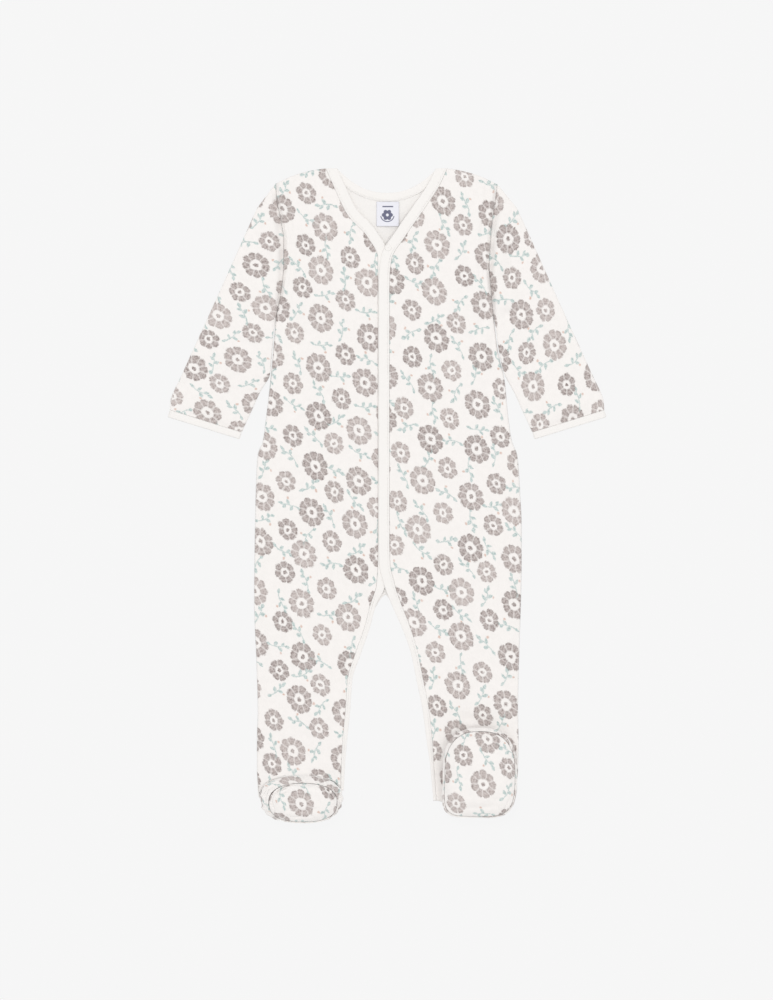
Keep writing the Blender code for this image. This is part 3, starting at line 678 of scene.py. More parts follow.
def make_sleeve(name, front, side, origin, materials):
    """A flattened tube: its upper side, a bend under the arm, its lower side and the fold over it."""
    flats, bend = 46, 9
    half = VELOUR + SLACK / 2.0
    places = upright(len(SLEEVE), 13 * len(SLEEVE) + 1)
    across = spread(flats, 0.3)
    x, y, width = sleeve_ground(front, side, places, across)
    edge = lerp(half / width, 1.0 - half / width, across)
    flat_x, flat_y = (np.array([np.interp(*row) for row in zip(edge, [across] * len(x), v)]) for v in (x, y))
    from_hole = np.hypot(flat_x - flat_x[:1], flat_y - flat_y[:1])
    arch = np.sin(np.pi * edge)
    bulge = lerp(SLEEVE_PUFF, CUFF_SLACK, smoothstep(places, *CUFF_RAMP)) * arch**0.7
    bulge = bulge * smoothstep(from_hole, 2.0, 15.0)
    head = SLEEVE_HEAD * smoothstep(from_hole, *HEAD_RISE) * smoothstep(from_hole, *HEAD_FALL) * arch**0.5
    folds = folds_at(-np.abs(flat_x), flat_y + max(0.0, side) * LEFT_FOLDS_LOWER, SLEEVE_FOLDS)
    folds = folds + 0.8 * ripple(flat_x, flat_y, 3.0 + side)
    calm = np.sin(np.pi * across) ** 0.6 * smoothstep(len(SLEEVE) - places, 0.0, 0.7)
    top = 2.0 * half + bulge + head + calm * folds * smoothstep(from_hole, 3.0, 14.0)
    top = np.maximum(top, 2.0 * half - 0.5) - 0.9 * smoothstep(from_hole, 8.0, 0.0)
    under = 0.35 * calm * np.maximum(0.0, ripple(flat_x, flat_y, 7.0 + side))
    angle = np.linspace(0.0, np.pi, bend + 2)[1:-1]
    bends = []
    for end, beside, start_z, end_z in ((-1, -2, top, under), (0, 1, under, top)):
        out_x, out_y = x[:, [end]] - x[:, [beside]], y[:, [end]] - y[:, [beside]]
        reach = half * np.sin(angle) / np.hypot(out_x, out_y)
        z = lerp(start_z[:, [end]], end_z[:, [end]], 0.5 - 0.5 * np.cos(angle))
        bends.append((flat_x[:, [end]] + out_x * reach, flat_y[:, [end]] + out_y * reach, z))
    sides = ((flat_x, flat_x), (flat_y, flat_y), (top, under))
    x, y, z = (np.hstack([up, far, down[:, ::-1], near]) for (up, down), far, near in zip(sides, *bends))
    corners = (flats - 1, flats + bend, 2 * flats + bend - 1, 2 * (flats + bend))
    past_bend = np.interp(np.arange(corners[-1]), corners, (0.0, SLEEVE_BEND, SLEEVE_BEND, 0.0))
    cos, sin = math.cos(SLEEVE_TURN), side * math.sin(SLEEVE_TURN)
    pattern = points_of(x * cos - y * sin + side * past_bend, x * sin + y * cos) + origin
    faces = grid_faces(*x.shape, closed=True, flip=side < 0.0)
    return thicken(new_object(name, points_of(x, y, z), faces, pattern, materials), SHELL)


def make_cuff(name, front, side, material):
    """The binding round a sleeve's end: a flattened ring, rolled over at both edges."""
    flats, bend = 44, 10
    half = JERSEY + SLACK / 2.0
    x, y, _ = sleeve_ground(front, side, np.full((1, 1), float(len(SLEEVE))), np.array([0.0, 1.0]))
    fold, under = points_of(x, y)[0]
    width = np.linalg.norm(under - fold)
    across = (under - fold) / width
    along = side * np.array([-across[1], across[0]])
    share = upright(1.0, 15)
    inward = 0.8 * (1.0 - np.sqrt(1.0 - np.abs(2.0 * share - 1.0) ** 5))
    t = np.linspace(half, width - half, flats)
    angle = np.linspace(0.0, np.pi, bend + 2)[1:-1]
    wave = 0.12 * np.sin(t * 1.9 + 3.0 * share) + 0.08 * np.sin(t * 3.1 + 1.0)
    top = 2.0 * half - inward + CUFF_SLACK * np.sin(np.pi * t / width) ** 0.7 + wave
    out, up = (half - inward) * np.sin(angle), (half - inward) * np.cos(angle)
    level = 0.0 * share
    place = np.hstack([t + level, width - half + out, t[::-1] + level, half - out])
    z = np.hstack([top, half + up, inward + 0.0 * t, half - up])
    ground = fold + along * lerp(TOUCH, CUFF_LENGTH, share)[..., None] + across * place[..., None]
    points = np.concatenate([ground, z[..., None]], axis=-1)
    pattern = points_of(1.5 * np.arange(z.shape[1]), share * CUFF_LENGTH)
    faces = grid_faces(*z.shape, closed=True, flip=side < 0.0)
    return thicken(new_object(name, points, faces, pattern, [material]), CUFF_WALL)


# ----
# Bindings and stitches.

STEP = 1.4  # between the rings of a binding
BINDING_SIDES = 26
CROTCH_PEAK_Y = -91.6
CROTCH_BINDING = JERSEY - 0.1  # it lies a little flatter
STITCH_PITCH = 2.9
STITCH_LENGTH = 2.1
STITCH_RADIUS = 0.2
STITCH_SIDES = 6
STITCH_SHAPE = ((0.0, 0.35), (0.18, 0.95), (0.5, 1.0), (0.82, 0.95), (1.0, 0.35))
STITCH_RISE = 0.22  # of the thread's middle above the binding
STITCH_INSET, NECK_STITCH_INSET = 1.9, 1.7
STITCHED_FROM = -250.0
PLACKET = (-92.0, 238.0)  # it hides the sewing of the right front between these


def normals_along(line):
    """Unit normals of a line on the ground, to the right of its direction."""
    ahead = unit(np.gradient(line, axis=0))
    return points_of(ahead[:, 1], -ahead[:, 0])


def even_steps(line, pitch):
    """Fractional indices along a line at equal distances."""
    away = gone(line)
    marks = np.linspace(0.0, away[-1], max(2, int(away[-1] / pitch)) + 1)
    return np.interp(marks, away, np.arange(len(line)))


def front_line(front):
    """The seam of a front's binding at even steps: points, widths and the binding's height."""
    dense = np.linspace(0.0, LAST_ROW, 60 * len(front))
    steps = even_steps(points_of(*columns(front, dense, "seam_x seam_y")), STEP)
    places = np.interp(steps, np.arange(len(dense)), dense)
    x, y, widths = columns(front, places, "seam_x seam_y binding")
    return points_of(x, y), widths, FRONT_REST + LAP_RISE * lap(y) * (front is FRONT_LEFT)


def neck_line(x):
    return points_of(x, NECK_TOP - neck_drop(x))


def crotch_line():
    """The seam of the back's inner-leg binding, ankle to crotch to ankle, with its widths."""
    places = np.linspace(LAST_ROW, CROTCH_ROW + 1.0, 110)
    right, left = (points_of(*columns(f, places, "seam_x seam_y binding")) for f in (FRONT_RIGHT, FRONT_LEFT))
    peak = [
        (lerp(right[-1, 0], CROTCH[0], 0.45), CROTCH_PEAK_Y, 5.6),
        (*CROTCH, 6.0),
        (lerp(left[-1, 0], CROTCH[0], 0.45), CROTCH_PEAK_Y, 7.0),
    ]
    line = np.concatenate([right, peak, left[::-1]])
    return line[:, :2], line[:, 2]


def make_binding(name, line, side, widths, base, thickness, seed, material, inner_top=NECK_TOP):
    """A folded binding beside a line: flat below, soft above, rounded over at the outer edge."""
    normal = normals_along(line) * side
    inner, outer = line + normal * TOUCH, line + normal * np.reshape(widths, (-1, 1))
    inner[:, 1] = np.minimum(inner[:, 1], inner_top)
    outer[:, 1] = np.minimum(outer[:, 1], NECK_TOP)
    angle = np.linspace(0.0, 2.0 * np.pi, BINDING_SIDES, endpoint=False)
    share = 0.5 - 0.5 * signed_power(np.cos(angle), 0.42)
    lift = 0.5 + 0.5 * signed_power(np.sin(angle), 0.62)
    away = gone(inner)[:, None]
    crown = 0.25 * np.sin(np.pi * share)
    pucker = 0.13 * np.sin(away * 1.15 + 1.2 * np.sin(away * 0.21 + seed)) * (1.0 - share) ** 2
    wave = 0.22 * np.sin(away * 0.085 + seed) + 0.14 * np.sin(away * 0.19 + 2.0 * seed)
    z = np.reshape(base, (-1, 1)) + (thickness + crown + pucker + wave) * lift
    ground = lerp(inner[:, None], outer[:, None], share[:, None])
    points = np.concatenate([ground, z[..., None]], axis=-1)
    faces = grid_faces(*z.shape, closed=True)
    piece = new_object(name, points, faces, points_of(away, 10.0 * share), [material])
    close_ends(piece, *z.shape)
    return piece


def line_at(line, places):
    """Points of a line at fractional indices."""
    return points_of(*(np.interp(places, np.arange(len(line)), part) for part in line.T))


def stitches(name, runs, material):
    """One mesh of short sewn threads along lines of points."""
    angle = np.linspace(0.0, 2.0 * np.pi, STITCH_SIDES, endpoint=False)[:, None]
    share, size = np.transpose(STITCH_SHAPE)[..., None, None]
    threads = []
    for line in runs:
        steps = even_steps(line[:, :2], STITCH_PITCH)[:-1]
        start = line_at(line, steps)
        ahead = unit(line_at(line, np.minimum(steps + 0.5, len(line) - 1.0)) - start)
        across = unit(np.cross(ahead, (0.0, 0.0, 1.0)))
        up = np.cross(across, ahead)
        start, ahead, across, up = (part[:, None, None] for part in (start, ahead, across, up))
        middle = start + ahead * STITCH_LENGTH * share + up * STITCH_RADIUS * (1.4 * size - 1.0)
        threads.append(middle + STITCH_RADIUS * size * (across * np.cos(angle) + up * np.sin(angle)))
    points = np.concatenate(threads)
    count, rings = points.shape[:2]
    faces = grid_faces(rings, STITCH_SIDES, closed=True, flip=True)
    faces = faces + np.arange(count)[:, None, None] * rings * STITCH_SIDES
    pattern = points_of(np.zeros((count, 1, 1)) + share[:, 0] * STITCH_LENGTH, angle[:, 0])
    return new_object(name, points, faces, pattern, [material])


def binding_stitches(material):
    """Sewing along the bindings, just inside the fronts' and the back's seams."""
    runs = []
    for front, side in ((FRONT_RIGHT, -1.0), (FRONT_LEFT, 1.0)):
        line, _, base = front_line(front)
        row = line + normals_along(line) * side * STITCH_INSET
        run = np.column_stack([row, base + JERSEY + STITCH_RISE])
        keep = line[:, 1] > STITCHED_FROM
        if front is FRONT_RIGHT:
            keep = keep & ((line[:, 1] < PLACKET[0]) | (line[:, 1] > PLACKET[1]))
        for group in np.split(np.arange(len(run)), np.flatnonzero(np.diff(keep)) + 1):
            if keep[group[0]] and len(group) > 3:
                part = run[group]
                runs.append(part[part[:, 1] < NECK_TOP - 1.0])
    neck = neck_line(np.linspace(-46.0, 45.0, 80))
    neck = neck - normals_along(neck) * NECK_STITCH_INSET
    runs.append(np.column_stack([neck, np.full(len(neck), JERSEY + STITCH_RISE)]))
    return stitches("binding_stitches", runs, material)


# ----
# Feet.


def foot_rings(foot, rows, capped):
    """A foot's rings, from its lower edge up, with their angles and sizes; a cap closes the small end."""
    places = np.linspace(0.0, len(rows) - 1, 10 * (len(rows) - 1) + 1)
    rings = points_of(*columns(rows, places, " ".join(FootRow._fields)))
    if capped:
        below = rows[0].scale < rows[-1].scale
        end = rings[0 if below else -1]
        shrink = np.linspace(1.0, 0.001, 9)[1:, None]
        cap = end * shrink
        cap[:, 1] = end[1] + (0.0 if below else 0.4) * (1.0 - shrink[:, 0] ** 2)
        rings = np.concatenate([cap[::-1], rings] if below else [rings, cap])
    scale, height, shift_y, shift_x, leg_rise = rings.T[..., None]
    angle = np.linspace(-0.5 * np.pi, 1.5 * np.pi, 181)
    c, s = np.cos(angle), np.sin(angle)
    power = 2.0 / np.where(s > 0.0, foot.squareness, foot.toe_squareness)
    along = signed_power(s, power)
    wide = foot.half_width * signed_power(c, power) + foot.toe_lean * np.minimum(0.0, along) ** 2
    x = foot.x + shift_x + scale * wide
    y = foot.y + shift_y + scale * foot.half_length * along
    z = foot.rest + height + leg_rise * smoothstep(s, *LEG_SIDE)
    return points_of(x, y, z), angle, scale


def wrapped(foot, points):
    """The place on the cloth of an upper's points: it carries on down from the leg and round both sides."""
    widest = np.argmax(np.ptp(points[..., 0], axis=1))
    line_x, line_y = points[widest, :, 0], points[widest, :, 1]
    fall = np.diff(line_y)
    run = np.hypot(np.diff(line_x), fall)
    follows = (np.abs(fall) < 0.7 * run) & (line_y[1:] > foot.y)
    fall = np.where(follows, fall, 0.0)
    u, v = sums(np.sqrt(run**2 - fall**2)), sums(fall)
    top = np.argmax(line_y)
    up = gone(points)
    return points_of(line_x[top] + u[top] - u, line_y[top] + v - v[top] - up + up[widest])


def spread_out(_, points):
    """The place on the cloth of a sole's points: laid flat outwards from its crown."""
    from_crown = gone(points[::-1])[::-1]
    centre = points[-1, :, :2].mean(axis=0)
    out = points[..., :2] - centre
    away = np.linalg.norm(out, axis=-1)
    longer = np.where(away < 4.0, 1.0, (from_crown + 0.001) / np.maximum(away, 0.001))
    return centre + out * longer[..., None]


def pleats(angle, count, seed):
    """Uneven gathers round a seam."""
    main = np.sin(angle * count + 1.7 * np.sin(angle * 3.0 + seed) + seed)
    return main + 0.5 * np.sin(angle * count * 1.6 + 2.0 * seed)


def creased(creases, angle, scale):
    """How deep the creases of a foot are at each of its points."""
    depth = 0.0
    for item in creases:
        gone_round = np.mod(np.degrees(angle) - item.from_angle, 360.0)
        share = np.clip(gone_round / (item.to_angle - item.from_angle), 0.0, 1.0)
        ring = item.scale + item.wander * np.sin(np.pi * 2.0 * share)
        depth = depth + item.depth * np.sin(np.pi * share) ** 0.6 * bell(scale - ring, item.width)
    return depth


def crumple_upper(part, points, angle, scale, up):
    """Gathers round an upper, which die away at its edges, and its creases."""
    by_leg = smoothstep(np.sin(angle), *LEG_SIDE)
    wave = pleats(angle, 17.0, part.seed) * 0.34 + np.sin(angle * 5.0 + part.seed) * 0.3
    free = smoothstep(up, 0.0, 0.25) * smoothstep(up, 0.8, 0.58)
    out = wave * part.amount * free * (1.0 - 0.8 * by_leg)
    out = out - creased(part.creases, angle, scale) * smoothstep(up, 0.4, 0.6) * smoothstep(up, 0.8, 0.7)
    return points_of(np.cos(angle) * out, np.sin(angle) * out, 0.2 * out)


def crumple_sole(part, points, angle, scale, up):
    """Gathers at a sole's edge, its creases and folds."""
    x, y = points[..., 0], points[..., 1]
    wave = pleats(angle, 15.0, part.seed) * smoothstep(scale, 0.45, 0.8) * 0.26 * part.amount
    wave = wave + 0.5 * part.amount * ripple(x * 2.2, y * 2.2, part.seed)
    drop = wave + folds_at(x, y, part.folds) - creased(part.creases, angle, scale)
    return points_of(0.0, 0.0, drop * smoothstep(up, 0.08, 0.24))


FootPart = namedtuple(
    "FootPart", "foot rows capped laid crumple creases folds seed amount origin flat area"
)


def make_foot_part(name, part, materials):
    """A foot's upper or sole: rings from its lower edge to its seam or crown, with crumples."""
    points, angle, scale = foot_rings(part.foot, part.rows, part.capped)
    pattern = part.laid(part.foot, points) + part.origin
    up = upright(1.0, len(points))
    points = points + part.crumple(part, points, angle, scale, up)
    piece = new_object(name, points, grid_faces(*points.shape[:2]), pattern, materials)
    return thicken(piece, SHELL, weld=True)


# ----
# Materials.


def feed(tree, node, inputs):
    """Gives each of a node's inputs a Number, another node's output or a plain value."""
    for name, value in inputs.items():
        value = getattr(value, "socket", value)
        if isinstance(value, bpy.types.NodeSocket):
            tree.links.new(value, node.inputs[name])
        else:
            node.inputs[name].default_value = value


def add_node(tree, kind, inputs, **settings):
    """A shader node, its inputs given by name or number."""
    node = tree.nodes.new("ShaderNode" + kind)
    for name, value in settings.items():
        setattr(node, name, value)
    feed(tree, node, inputs)
    return node


class Number:
    """A number inside a shader, so that a pattern reads as a formula."""

    def __init__(self, tree, socket):
        self.tree = tree
        self.socket = socket

    def node(self, operation, *others):
        inputs = dict(enumerate((self, *others)))
        return Number(self.tree, add_node(self.tree, "Math", inputs, operation=operation).outputs[0])

    __add__ = partialmethod(node, "ADD")
    __sub__ = partialmethod(node, "SUBTRACT")
    __mul__ = partialmethod(node, "MULTIPLY")
    __truediv__ = partialmethod(node, "DIVIDE")
    __abs__ = partialmethod(node, "ABSOLUTE")
    at_least = partialmethod(node, "MAXIMUM")
    at_most = partialmethod(node, "MINIMUM")
    root = partialmethod(node, "SQRT")
    sine = partialmethod(node, "SINE")
    cosine = partialmethod(node, "COSINE")
    angle_from = partialmethod(node, "ARCTAN2")

    def __rsub__(self, other):
        return self.node("MULTIPLY_ADD", -1.0, other)

    def ramp(self, start, end):
        """0 below start and 1 above end, softly."""
        inputs = {"Value": self, "From Min": start, "From Max": end}
        node = add_node(self.tree, "MapRange", inputs, interpolation_type="SMOOTHSTEP")
        return Number(self.tree, node.outputs["Result"])


def colour_of(red, green, blue):
    """A linear colour from its screen values, each between 11 and 255."""
    return (*(((value / 255.0 + 0.055) / 1.055) ** 2.4 for value in (red, green, blue)), 1.0)


VELOUR_GROUND = colour_of(246, 242, 239)
VELOUR_INSIDE = colour_of(244, 241, 238)
BINDING = colour_of(245, 242, 239)
TAUPE_DARK = colour_of(130, 115, 112)
TAUPE_LIGHT = colour_of(195, 183, 179)
SAGE_DARK = colour_of(164, 185, 183)
SAGE = colour_of(196, 212, 209)
CORAL = colour_of(214, 181, 166)
LABEL_WHITE = colour_of(231, 231, 238)
LABEL_INK = colour_of(52, 56, 96)
PAPER = colour_of(246, 246, 246)


def new_material(name):
    material = bpy.data.materials.new(name)
    material.use_nodes = True
    tree = material.node_tree
    return material, tree, tree.nodes["Principled BSDF"]


def cloth_place(tree):
    """The place on the cloth, in millimetres, as a vector and as two numbers."""
    place = add_node(tree, "UVMap", {}, uv_map="cloth").outputs["UV"]
    parts = add_node(tree, "SeparateXYZ", {"Vector": place}).outputs
    return place, Number(tree, parts["X"]), Number(tree, parts["Y"])


def cloth_material(name, look):
    """A material from a function of the place on the cloth, which gives the shader's inputs."""
    material, tree, shader = new_material(name)
    feed(tree, shader, look(tree, *cloth_place(tree)))
    return material


def noise(tree, vector, scale, detail, roughness=0.5):
    inputs = {"Vector": vector, "Scale": scale, "Detail": detail, "Roughness": roughness}
    return Number(tree, add_node(tree, "TexNoise", inputs).outputs["Fac"])


def bump(tree, relief, strength, distance):
    """The normal of a relief, which is this many metres high where it is 1."""
    inputs = {"Height": relief, "Strength": strength, "Distance": distance}
    return add_node(tree, "Bump", inputs).outputs["Normal"]


def mix(tree, share, first, second):
    """A colour between two; each is a colour or a colour socket."""
    return add_node(tree, "Mix", {0: share, 6: first, 7: second}, data_type="RGBA").outputs[2]


def shaded(tree, share, colour, darkest):
    """A colour that is darker where share is lower."""
    return mix(tree, share, (*(darkest * value for value in colour[:3]), 1.0), colour)


# The print's motifs stand on a leaning lattice. A motif's row has its shifts against the lattice, in
# cells, and a seed; a flower's row goes on with its radius, number of petals, hole and dot.
CELL_WIDTH, CELL_HEIGHT = 45.0, 43.0
LATTICE_TURN = math.radians(17.0)
LATTICE_LEAN = 0.24
JITTER = 7.0
SPRIGS = ((0.5, 0.0, 3.0), (0.0, 0.5, 4.0))
FLOWERS = ((0.0, 0.0, 1.0, 12.3, 9.0, 5.2, 1.9), (0.5, 0.5, 2.0, 9.4, 7.0, 3.9, 1.6))
# A leaf starts on the stalk at this x, and has a direction in degrees, a length and half a width.
LEAVES = (
    (-6.6, 152.0, 5.2, 1.4),
    (-3.4, 54.0, 5.8, 1.5),
    (-0.2, -50.0, 5.6, 1.5),
    (3.2, 44.0, 5.2, 1.4),
    (5.8, -10.0, 5.8, 1.4),
)
STALK_SAG = 0.022
STALK_REACH = 7.6
BERRY_X, BERRY_Y, BERRY_RADIUS = 2.2, -5.6, 1.1


def motif_place(tree, u, v, shift_u, shift_v, seed):
    """The place inside the nearest motif's own cell, turned at random with it, and a random number."""
    cell_u = (u + shift_u * CELL_WIDTH) / CELL_WIDTH
    cell_v = (v + shift_v * CELL_HEIGHT) / CELL_HEIGHT
    index_u, index_v = cell_u.node("FLOOR"), cell_v.node("FLOOR")
    join = add_node(tree, "CombineXYZ", {"X": index_u, "Y": index_v, "Z": seed})
    chance = add_node(tree, "TexWhiteNoise", {"Vector": join.outputs[0]}, noise_dimensions="3D").outputs
    parts = add_node(tree, "SeparateColor", {"Color": chance["Color"]}).outputs
    red, green, blue = (Number(tree, part) for part in parts)
    x = (cell_u - index_u - 0.5) * CELL_WIDTH + (red - 0.5) * JITTER
    y = (cell_v - index_v - 0.5) * CELL_HEIGHT + (green - 0.5) * JITTER
    turn = blue * (2.0 * math.pi)
    cos, sin = turn.cosine(), turn.sine()
    return x * cos - y * sin, x * sin + y * cos, Number(tree, chance["Value"])


def flower(tree, x, y, rough, radius, petals, hole, dot):
    """A flower drawn in crayon, petals round a dot: where it covers, and its shade, 0 at darker rims."""
    away = (x * x + y * y).root() + rough
    angle = y.angle_from(x)
    wave = abs((angle * (petals / 2.0)).cosine())
    rim = (wave.root() * (0.17 * radius) + 0.85 * radius - away).at_most(away - hole)
    parted = (wave * away * (2.0 / petals) + rough * 0.3).ramp(-0.1, 1.1) * 0.55 + 0.45
    cover = (rim.ramp(-0.8, 0.9) * parted).at_least((dot - away).ramp(-0.7, 0.7))
    round_it = add_node(tree, "CombineXYZ", {"X": angle * 2.2, "Y": away * 0.8}).outputs[0]
    strokes = noise(tree, round_it, 1.0, 2.0, 0.6)
    return cover, rim.ramp(0.2, 2.6) * 0.34 + strokes.ramp(0.25, 0.75) * 0.66


def sprig(x, y, rough):
    """A bent stalk with pointed leaves, and a berry beside it."""
    stalk = 0.5 - abs(y - x * x * STALK_SAG + rough * 0.3)
    green = stalk.ramp(-0.5, 0.6) * (STALK_REACH - abs(x)).ramp(-0.5, 0.5)
    for start, degrees, length, half_width in LEAVES:
        cos, sin = math.cos(math.radians(degrees)), math.sin(math.radians(degrees))
        from_x, from_y = x - start, y - STALK_SAG * start**2
        along = (from_x * cos + from_y * sin) / length
        room = along * (1.0 - along) * (4.0 * half_width)
        green = green.at_least((room - abs(from_y * cos - from_x * sin)).ramp(-0.55, 0.6))
    from_x, from_y = x - BERRY_X, y - BERRY_Y
    return green, (BERRY_RADIUS - (from_x * from_x + from_y * from_y).root()).ramp(-0.6, 0.6)


def print_colour(tree, vector, u, v):
    """The printed pattern: crayon flowers in taupe, sage sprigs and coral berries, scattered."""
    bend_u, bend_v = (
        (noise(tree, vector, wide, 1.0) - 0.5) * 3.0 + (noise(tree, vector, fine, 1.0) - 0.5) * 1.5
        for wide, fine in ((0.09, 0.42), (0.11, 0.37))
    )
    cos, sin = math.cos(LATTICE_TURN), math.sin(LATTICE_TURN)
    up = u * sin + v * cos + bend_v
    across = u * cos - v * sin + bend_u + up * LATTICE_LEAN
    grain = noise(tree, vector, 0.62, 3.0, 0.7)
    rough = (grain - 0.5) * 2.6
    ink = grain.ramp(0.36, 0.6)
    colour = shaded(tree, noise(tree, vector, 0.16, 2.0).ramp(0.3, 0.7), VELOUR_GROUND, 0.98)
    drawn = [sprig(*motif_place(tree, across, up, *row)[:2], rough) for row in SPRIGS]
    green, berries = (first.at_least(second) for first, second in zip(*drawn))
    colour = mix(tree, green * (0.95 - ink * 0.2), colour, mix(tree, ink, SAGE_DARK, SAGE))
    colour = mix(tree, berries * (0.95 - ink * 0.3), colour, CORAL)
    for row in FLOWERS:
        x, y, chance = motif_place(tree, across, up, *row[:3])
        cover, shade = flower(tree, x, y, rough, *row[3:])
        shade = (shade * 0.62 + chance * 0.3 + ink * 0.16).ramp(0.1, 0.95)
        colour = mix(tree, cover * (1.0 - ink * 0.28), colour, mix(tree, shade, TAUPE_DARK, TAUPE_LIGHT))
    return colour


def velour_look(colour_at, tree, vector, u, v):
    """Velour: a short nap that catches light at the edges."""
    nap = noise(tree, vector, 2.6, 2.0, 0.6)
    crush = noise(tree, vector, 0.33, 3.0, 0.55)
    return {
        "Base Color": colour_at(tree, vector, u, v),
        "Roughness": nap * 0.16 + 0.8,
        "Normal": bump(tree, nap * 0.35 + crush, 0.55, 0.0007),
        "Sheen Weight": 0.5,
        "Sheen Roughness": 0.55,
        "Specular IOR Level": 0.15,
    }


def inside_colour(tree, vector, *_):
    return shaded(tree, noise(tree, vector, 0.2, 2.0), VELOUR_INSIDE, 0.97)


def jersey_look(tree, vector, u, v):
    """Fine jersey: faint wales along the binding."""
    wales, courses = (v * 7.0).sine() * 0.5 + 0.5, (u * 8.5).sine() * 0.5 + 0.5
    soft = noise(tree, vector, 0.35, 3.0)
    return {
        "Base Color": shaded(tree, soft, BINDING, 0.975),
        "Roughness": soft * 0.12 + 0.76,
        "Normal": bump(tree, wales * 0.22 + courses * 0.12 + soft * 1.2, 0.4, 0.0004),
        "Sheen Weight": 0.3,
        "Specular IOR Level": 0.2,
    }


def label_look(tree, _, u, v):
    """A woven label: white satin with a small plain flower under a short bar, and an arc below."""
    weave = (u * 9.0).sine() * (v * 9.0).sine() * 0.5 + 0.5
    bar = (0.6 - abs(v - 6.9)).ramp(-0.25, 0.25) * (5.0 - abs(u)).ramp(-0.3, 0.3)
    across, up = u + 0.4, v + 0.9
    away = (across * across + up * up).root()
    wave = abs((up.angle_from(across) * 3.0).cosine())
    petals = (wave * 1.3 + 3.9 - away).ramp(-0.3, 0.3) * (away - 1.3).ramp(-0.3, 0.3)
    arc = (0.45 - abs(away - 6.2)).ramp(-0.25, 0.25) * (-1.0 - up).ramp(-0.4, 0.4)
    return {
        "Base Color": mix(tree, bar.at_least(petals).at_least(arc) * 0.9, LABEL_WHITE, LABEL_INK),
        "Roughness": weave * 0.1 + 0.42,
        "Normal": bump(tree, weave, 0.25, 0.0001),
    }


def thread_look(tree, _, u, v):
    # Sewing thread a little darker than the binding, its own tone, with painted shade in the grooves of its
    # twist: the colour darkens where the twist's relief is low.
    twist = (u * 6.0 + v * 2.0).sine() * 0.5 + 0.5
    colour = shaded(tree, twist, BINDING, 0.9)
    return {"Base Color": colour, "Roughness": 0.6, "Normal": bump(tree, twist, 0.4, 0.0001)}


# ----
# Small pieces.


def make_label(material):
    """The neck label, sewn along its top edge and lifting a little at the bottom."""
    width, length = LABEL_SIZE
    u, v = np.meshgrid(np.linspace(-0.5, 0.5, 25) * width, np.linspace(0.5, -0.5, 27) * length)
    free = 0.5 - v / length
    z = VELOUR + 0.45 + 0.8 * free**2 + 0.35 * free * np.sin(u / width * 4.2 + 0.7)
    points = points_of(u + LABEL_CENTRE[0], v + LABEL_CENTRE[1], z)
    piece = new_object("label_woven", points, grid_faces(*u.shape, flip=True), points_of(u, v), [material])
    return thicken(piece, LABEL_THICKNESS)


def make_snap(material):
    """The top snap's cap under the cloth: a low disc with a rounded rim and a shallow dish."""
    angle = np.linspace(0.0, 2.0 * np.pi, 48, endpoint=False)
    size, height = np.transpose(SNAP_SECTION)[..., None]
    x = SNAP_PLACE[0] + SNAP_RADIUS * size * np.cos(angle)
    y = SNAP_PLACE[1] + SNAP_RADIUS * size * np.sin(angle)
    points = points_of(x, y, FRONT_REST + LAP_RISE * lap(SNAP_PLACE[1]) + JERSEY + height)
    faces = grid_faces(*x.shape, closed=True)
    return thicken(new_object("snap_cap", points, faces, points_of(x, y), [material]), SNAP_THICKNESS)


# ----
# The garment. Each piece takes the place of its solid; flat sizes are in metres.


def dress(piece, node):
    """Puts a piece in its solid's place."""
    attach(piece, "root")
    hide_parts(node)


velour = [
    cloth_material("printed_velour", partial(velour_look, print_colour)),
    cloth_material("velour_inside", partial(velour_look, inside_colour)),
]
jersey = cloth_material("jersey_binding", jersey_look)
BODY_ORIGIN = {"right": (6.0, 12.0), "left": (31.0, -9.0)}

dress(make_back(velour), "back")
for hand, side, front, front_area, sleeve_origin in (
    ("right", -1.0, FRONT_RIGHT, 0.0552, (20.0, 5.0)),
    ("left", 1.0, FRONT_LEFT, 0.0588, (-8.0, 33.0)),
):
    piece = make_front(f"front_{hand}_cloth", front, BODY_ORIGIN[hand], velour)
    dress(piece, f"front_{hand}")
    piece = make_sleeve(f"sleeve_{hand}_cloth", front, side, sleeve_origin, velour)
    dress(piece, f"sleeve_{hand}")
    piece = make_cuff(f"cuff_{hand}_cloth", front, side, jersey)
    dress(piece, f"cuff_{hand}")
    line, widths, base = front_line(front)
    piece = make_binding(f"band_{hand}_cloth", line, side, widths, base, JERSEY, 1.0 + side, jersey)
    dress(piece, f"band_{hand}")

line = neck_line(FRONT_RIGHT[0].seam_x * np.cos(np.linspace(0.0, np.pi, 90)))
piece = make_binding(
    "band_neck_back_cloth", line, -1.0, BACK_NECK_BINDING, 0.0, JERSEY, 0.7, jersey, inner_top=math.inf
)
dress(piece, "band_neck_back")
line, widths = crotch_line()
piece = make_binding("band_crotch_back_cloth", line, 1.0, widths, 0.0, CROTCH_BINDING, 2.6, jersey)
dress(piece, "band_crotch_back")

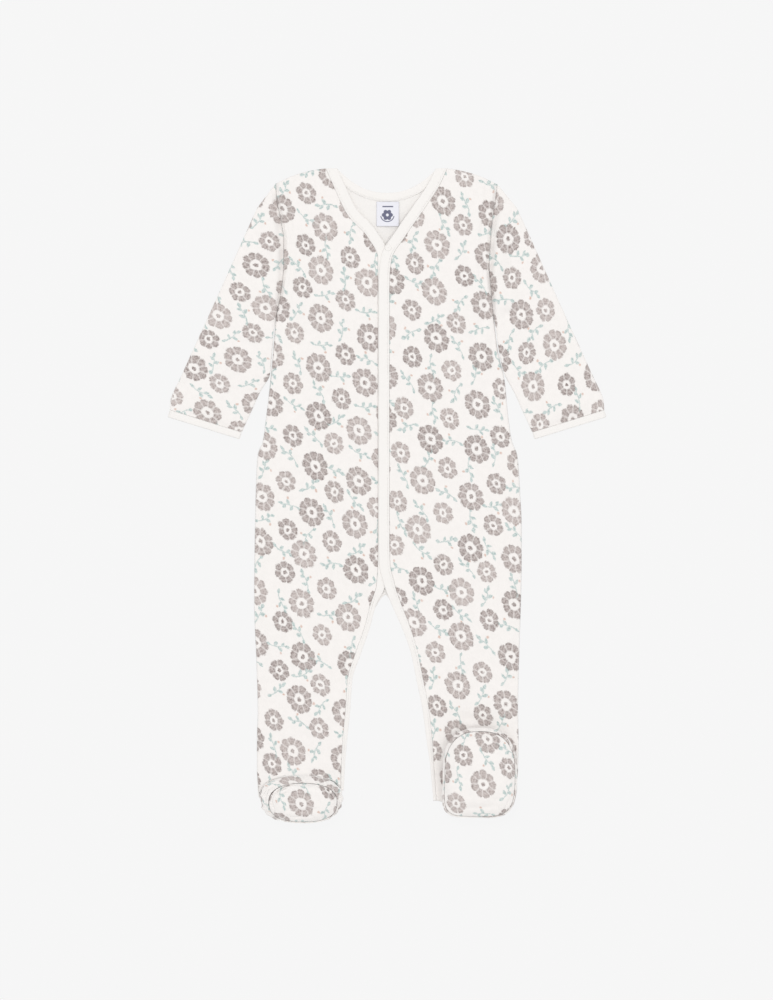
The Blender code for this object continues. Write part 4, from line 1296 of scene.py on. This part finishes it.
FEET = {
    "foot_right": FootPart(
        FOOT_RIGHT, FOOT_RIGHT_UPPER, False, wrapped, crumple_upper, CREASES_RIGHT, (), 0.6, 1.5,
        BODY_ORIGIN["right"], (0.195, 0.022), 0.0042,
    ),
    "sole_right": FootPart(
        FOOT_RIGHT, FOOT_RIGHT_SOLE, True, spread_out, crumple_sole, CREASES_RIGHT, SOLE_RIGHT_FOLDS,
        1.4, 1.2, (-4.0, 20.0), (0.073, 0.045), 0.0024,
    ),
    "foot_left": FootPart(
        FOOT_LEFT, FOOT_LEFT_UPPER, True, wrapped, crumple_upper, CREASES_LEFT, (), 2.2, 1.0,
        BODY_ORIGIN["left"], (0.098, 0.112), 0.0083,
    ),
    "sole_left": FootPart(
        FOOT_LEFT, FOOT_LEFT_SOLE, True, spread_out, crumple_sole, CREASES_LEFT, SOLE_LEFT_FOLDS,
        3.1, 1.0, (3.0, -6.0), (0.073, 0.087), 0.0050,
    ),
}
for node, part in FEET.items():
    dress(make_foot_part(node + "_cloth", part, velour), node)

label = make_label(cloth_material("label_satin", label_look))
dress(label, "label")
dress(make_snap(jersey), "snap_top")
sewing = binding_stitches(cloth_material("sewing_thread", thread_look))
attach(sewing, "root")

# ----
# Ground, light and camera, in metres.

FRAME_HEIGHT = 0.93  # of ground, from the top of the picture to its bottom
CAMERA_HEIGHT = 4.0
CAMERA_CENTRE = (-0.0005, -0.00465)
SENSOR = 36.0  # millimetres


def make_ground():
    bpy.ops.mesh.primitive_plane_add(size=8.0, location=(0.0, 0.0, -0.0002))
    ground = bpy.context.object
    ground.name = "ground"
    material, tree, shader = new_material("ground_paper")
    feed(tree, shader, {"Base Color": PAPER, "Roughness": 1.0, "Specular IOR Level": 0.0})
    glow = add_node(tree, "Emission", {"Color": PAPER}).outputs["Emission"]
    blend = add_node(tree, "MixShader", {"Fac": 0.96, 1: shader.outputs["BSDF"], 2: glow})
    feed(tree, tree.nodes["Material Output"], {"Surface": blend.outputs["Shader"]})
    ground.data.materials.append(material)


def add_to_scene(name, data, location):
    thing = bpy.data.objects.new(name, data)
    thing.location = location
    bpy.context.scene.collection.objects.link(thing)
    return thing


def make_light(name, location, size, watts):
    data = bpy.data.lights.new(name, "AREA")
    data.shape = "DISK"
    data.size = size
    data.energy = watts
    lamp = add_to_scene(name, data, location)
    lamp.rotation_euler = (-Vector(location)).to_track_quat("-Z", "Y").to_euler()


def make_world():
    world = bpy.data.worlds.new("studio")
    world.use_nodes = True
    tree = world.node_tree
    feed(tree, tree.nodes["Background"], {"Color": (1.0, 1.0, 1.0, 1.0), "Strength": 0.75})
    bpy.context.scene.world = world


def make_camera():
    data = bpy.data.cameras.new("camera")
    data.sensor_width = SENSOR
    data.lens = SENSOR * CAMERA_HEIGHT / FRAME_HEIGHT
    bpy.context.scene.camera = add_to_scene("camera", data, (*CAMERA_CENTRE, CAMERA_HEIGHT))


make_ground()
make_world()
make_light("key", (-0.8, 1.6, 4.8), 1.4, 56.0)
make_light("fill", (1.4, -0.8, 4.6), 1.8, 25.0)
make_camera()
bpy.context.scene.view_settings.view_transform = "Standard"
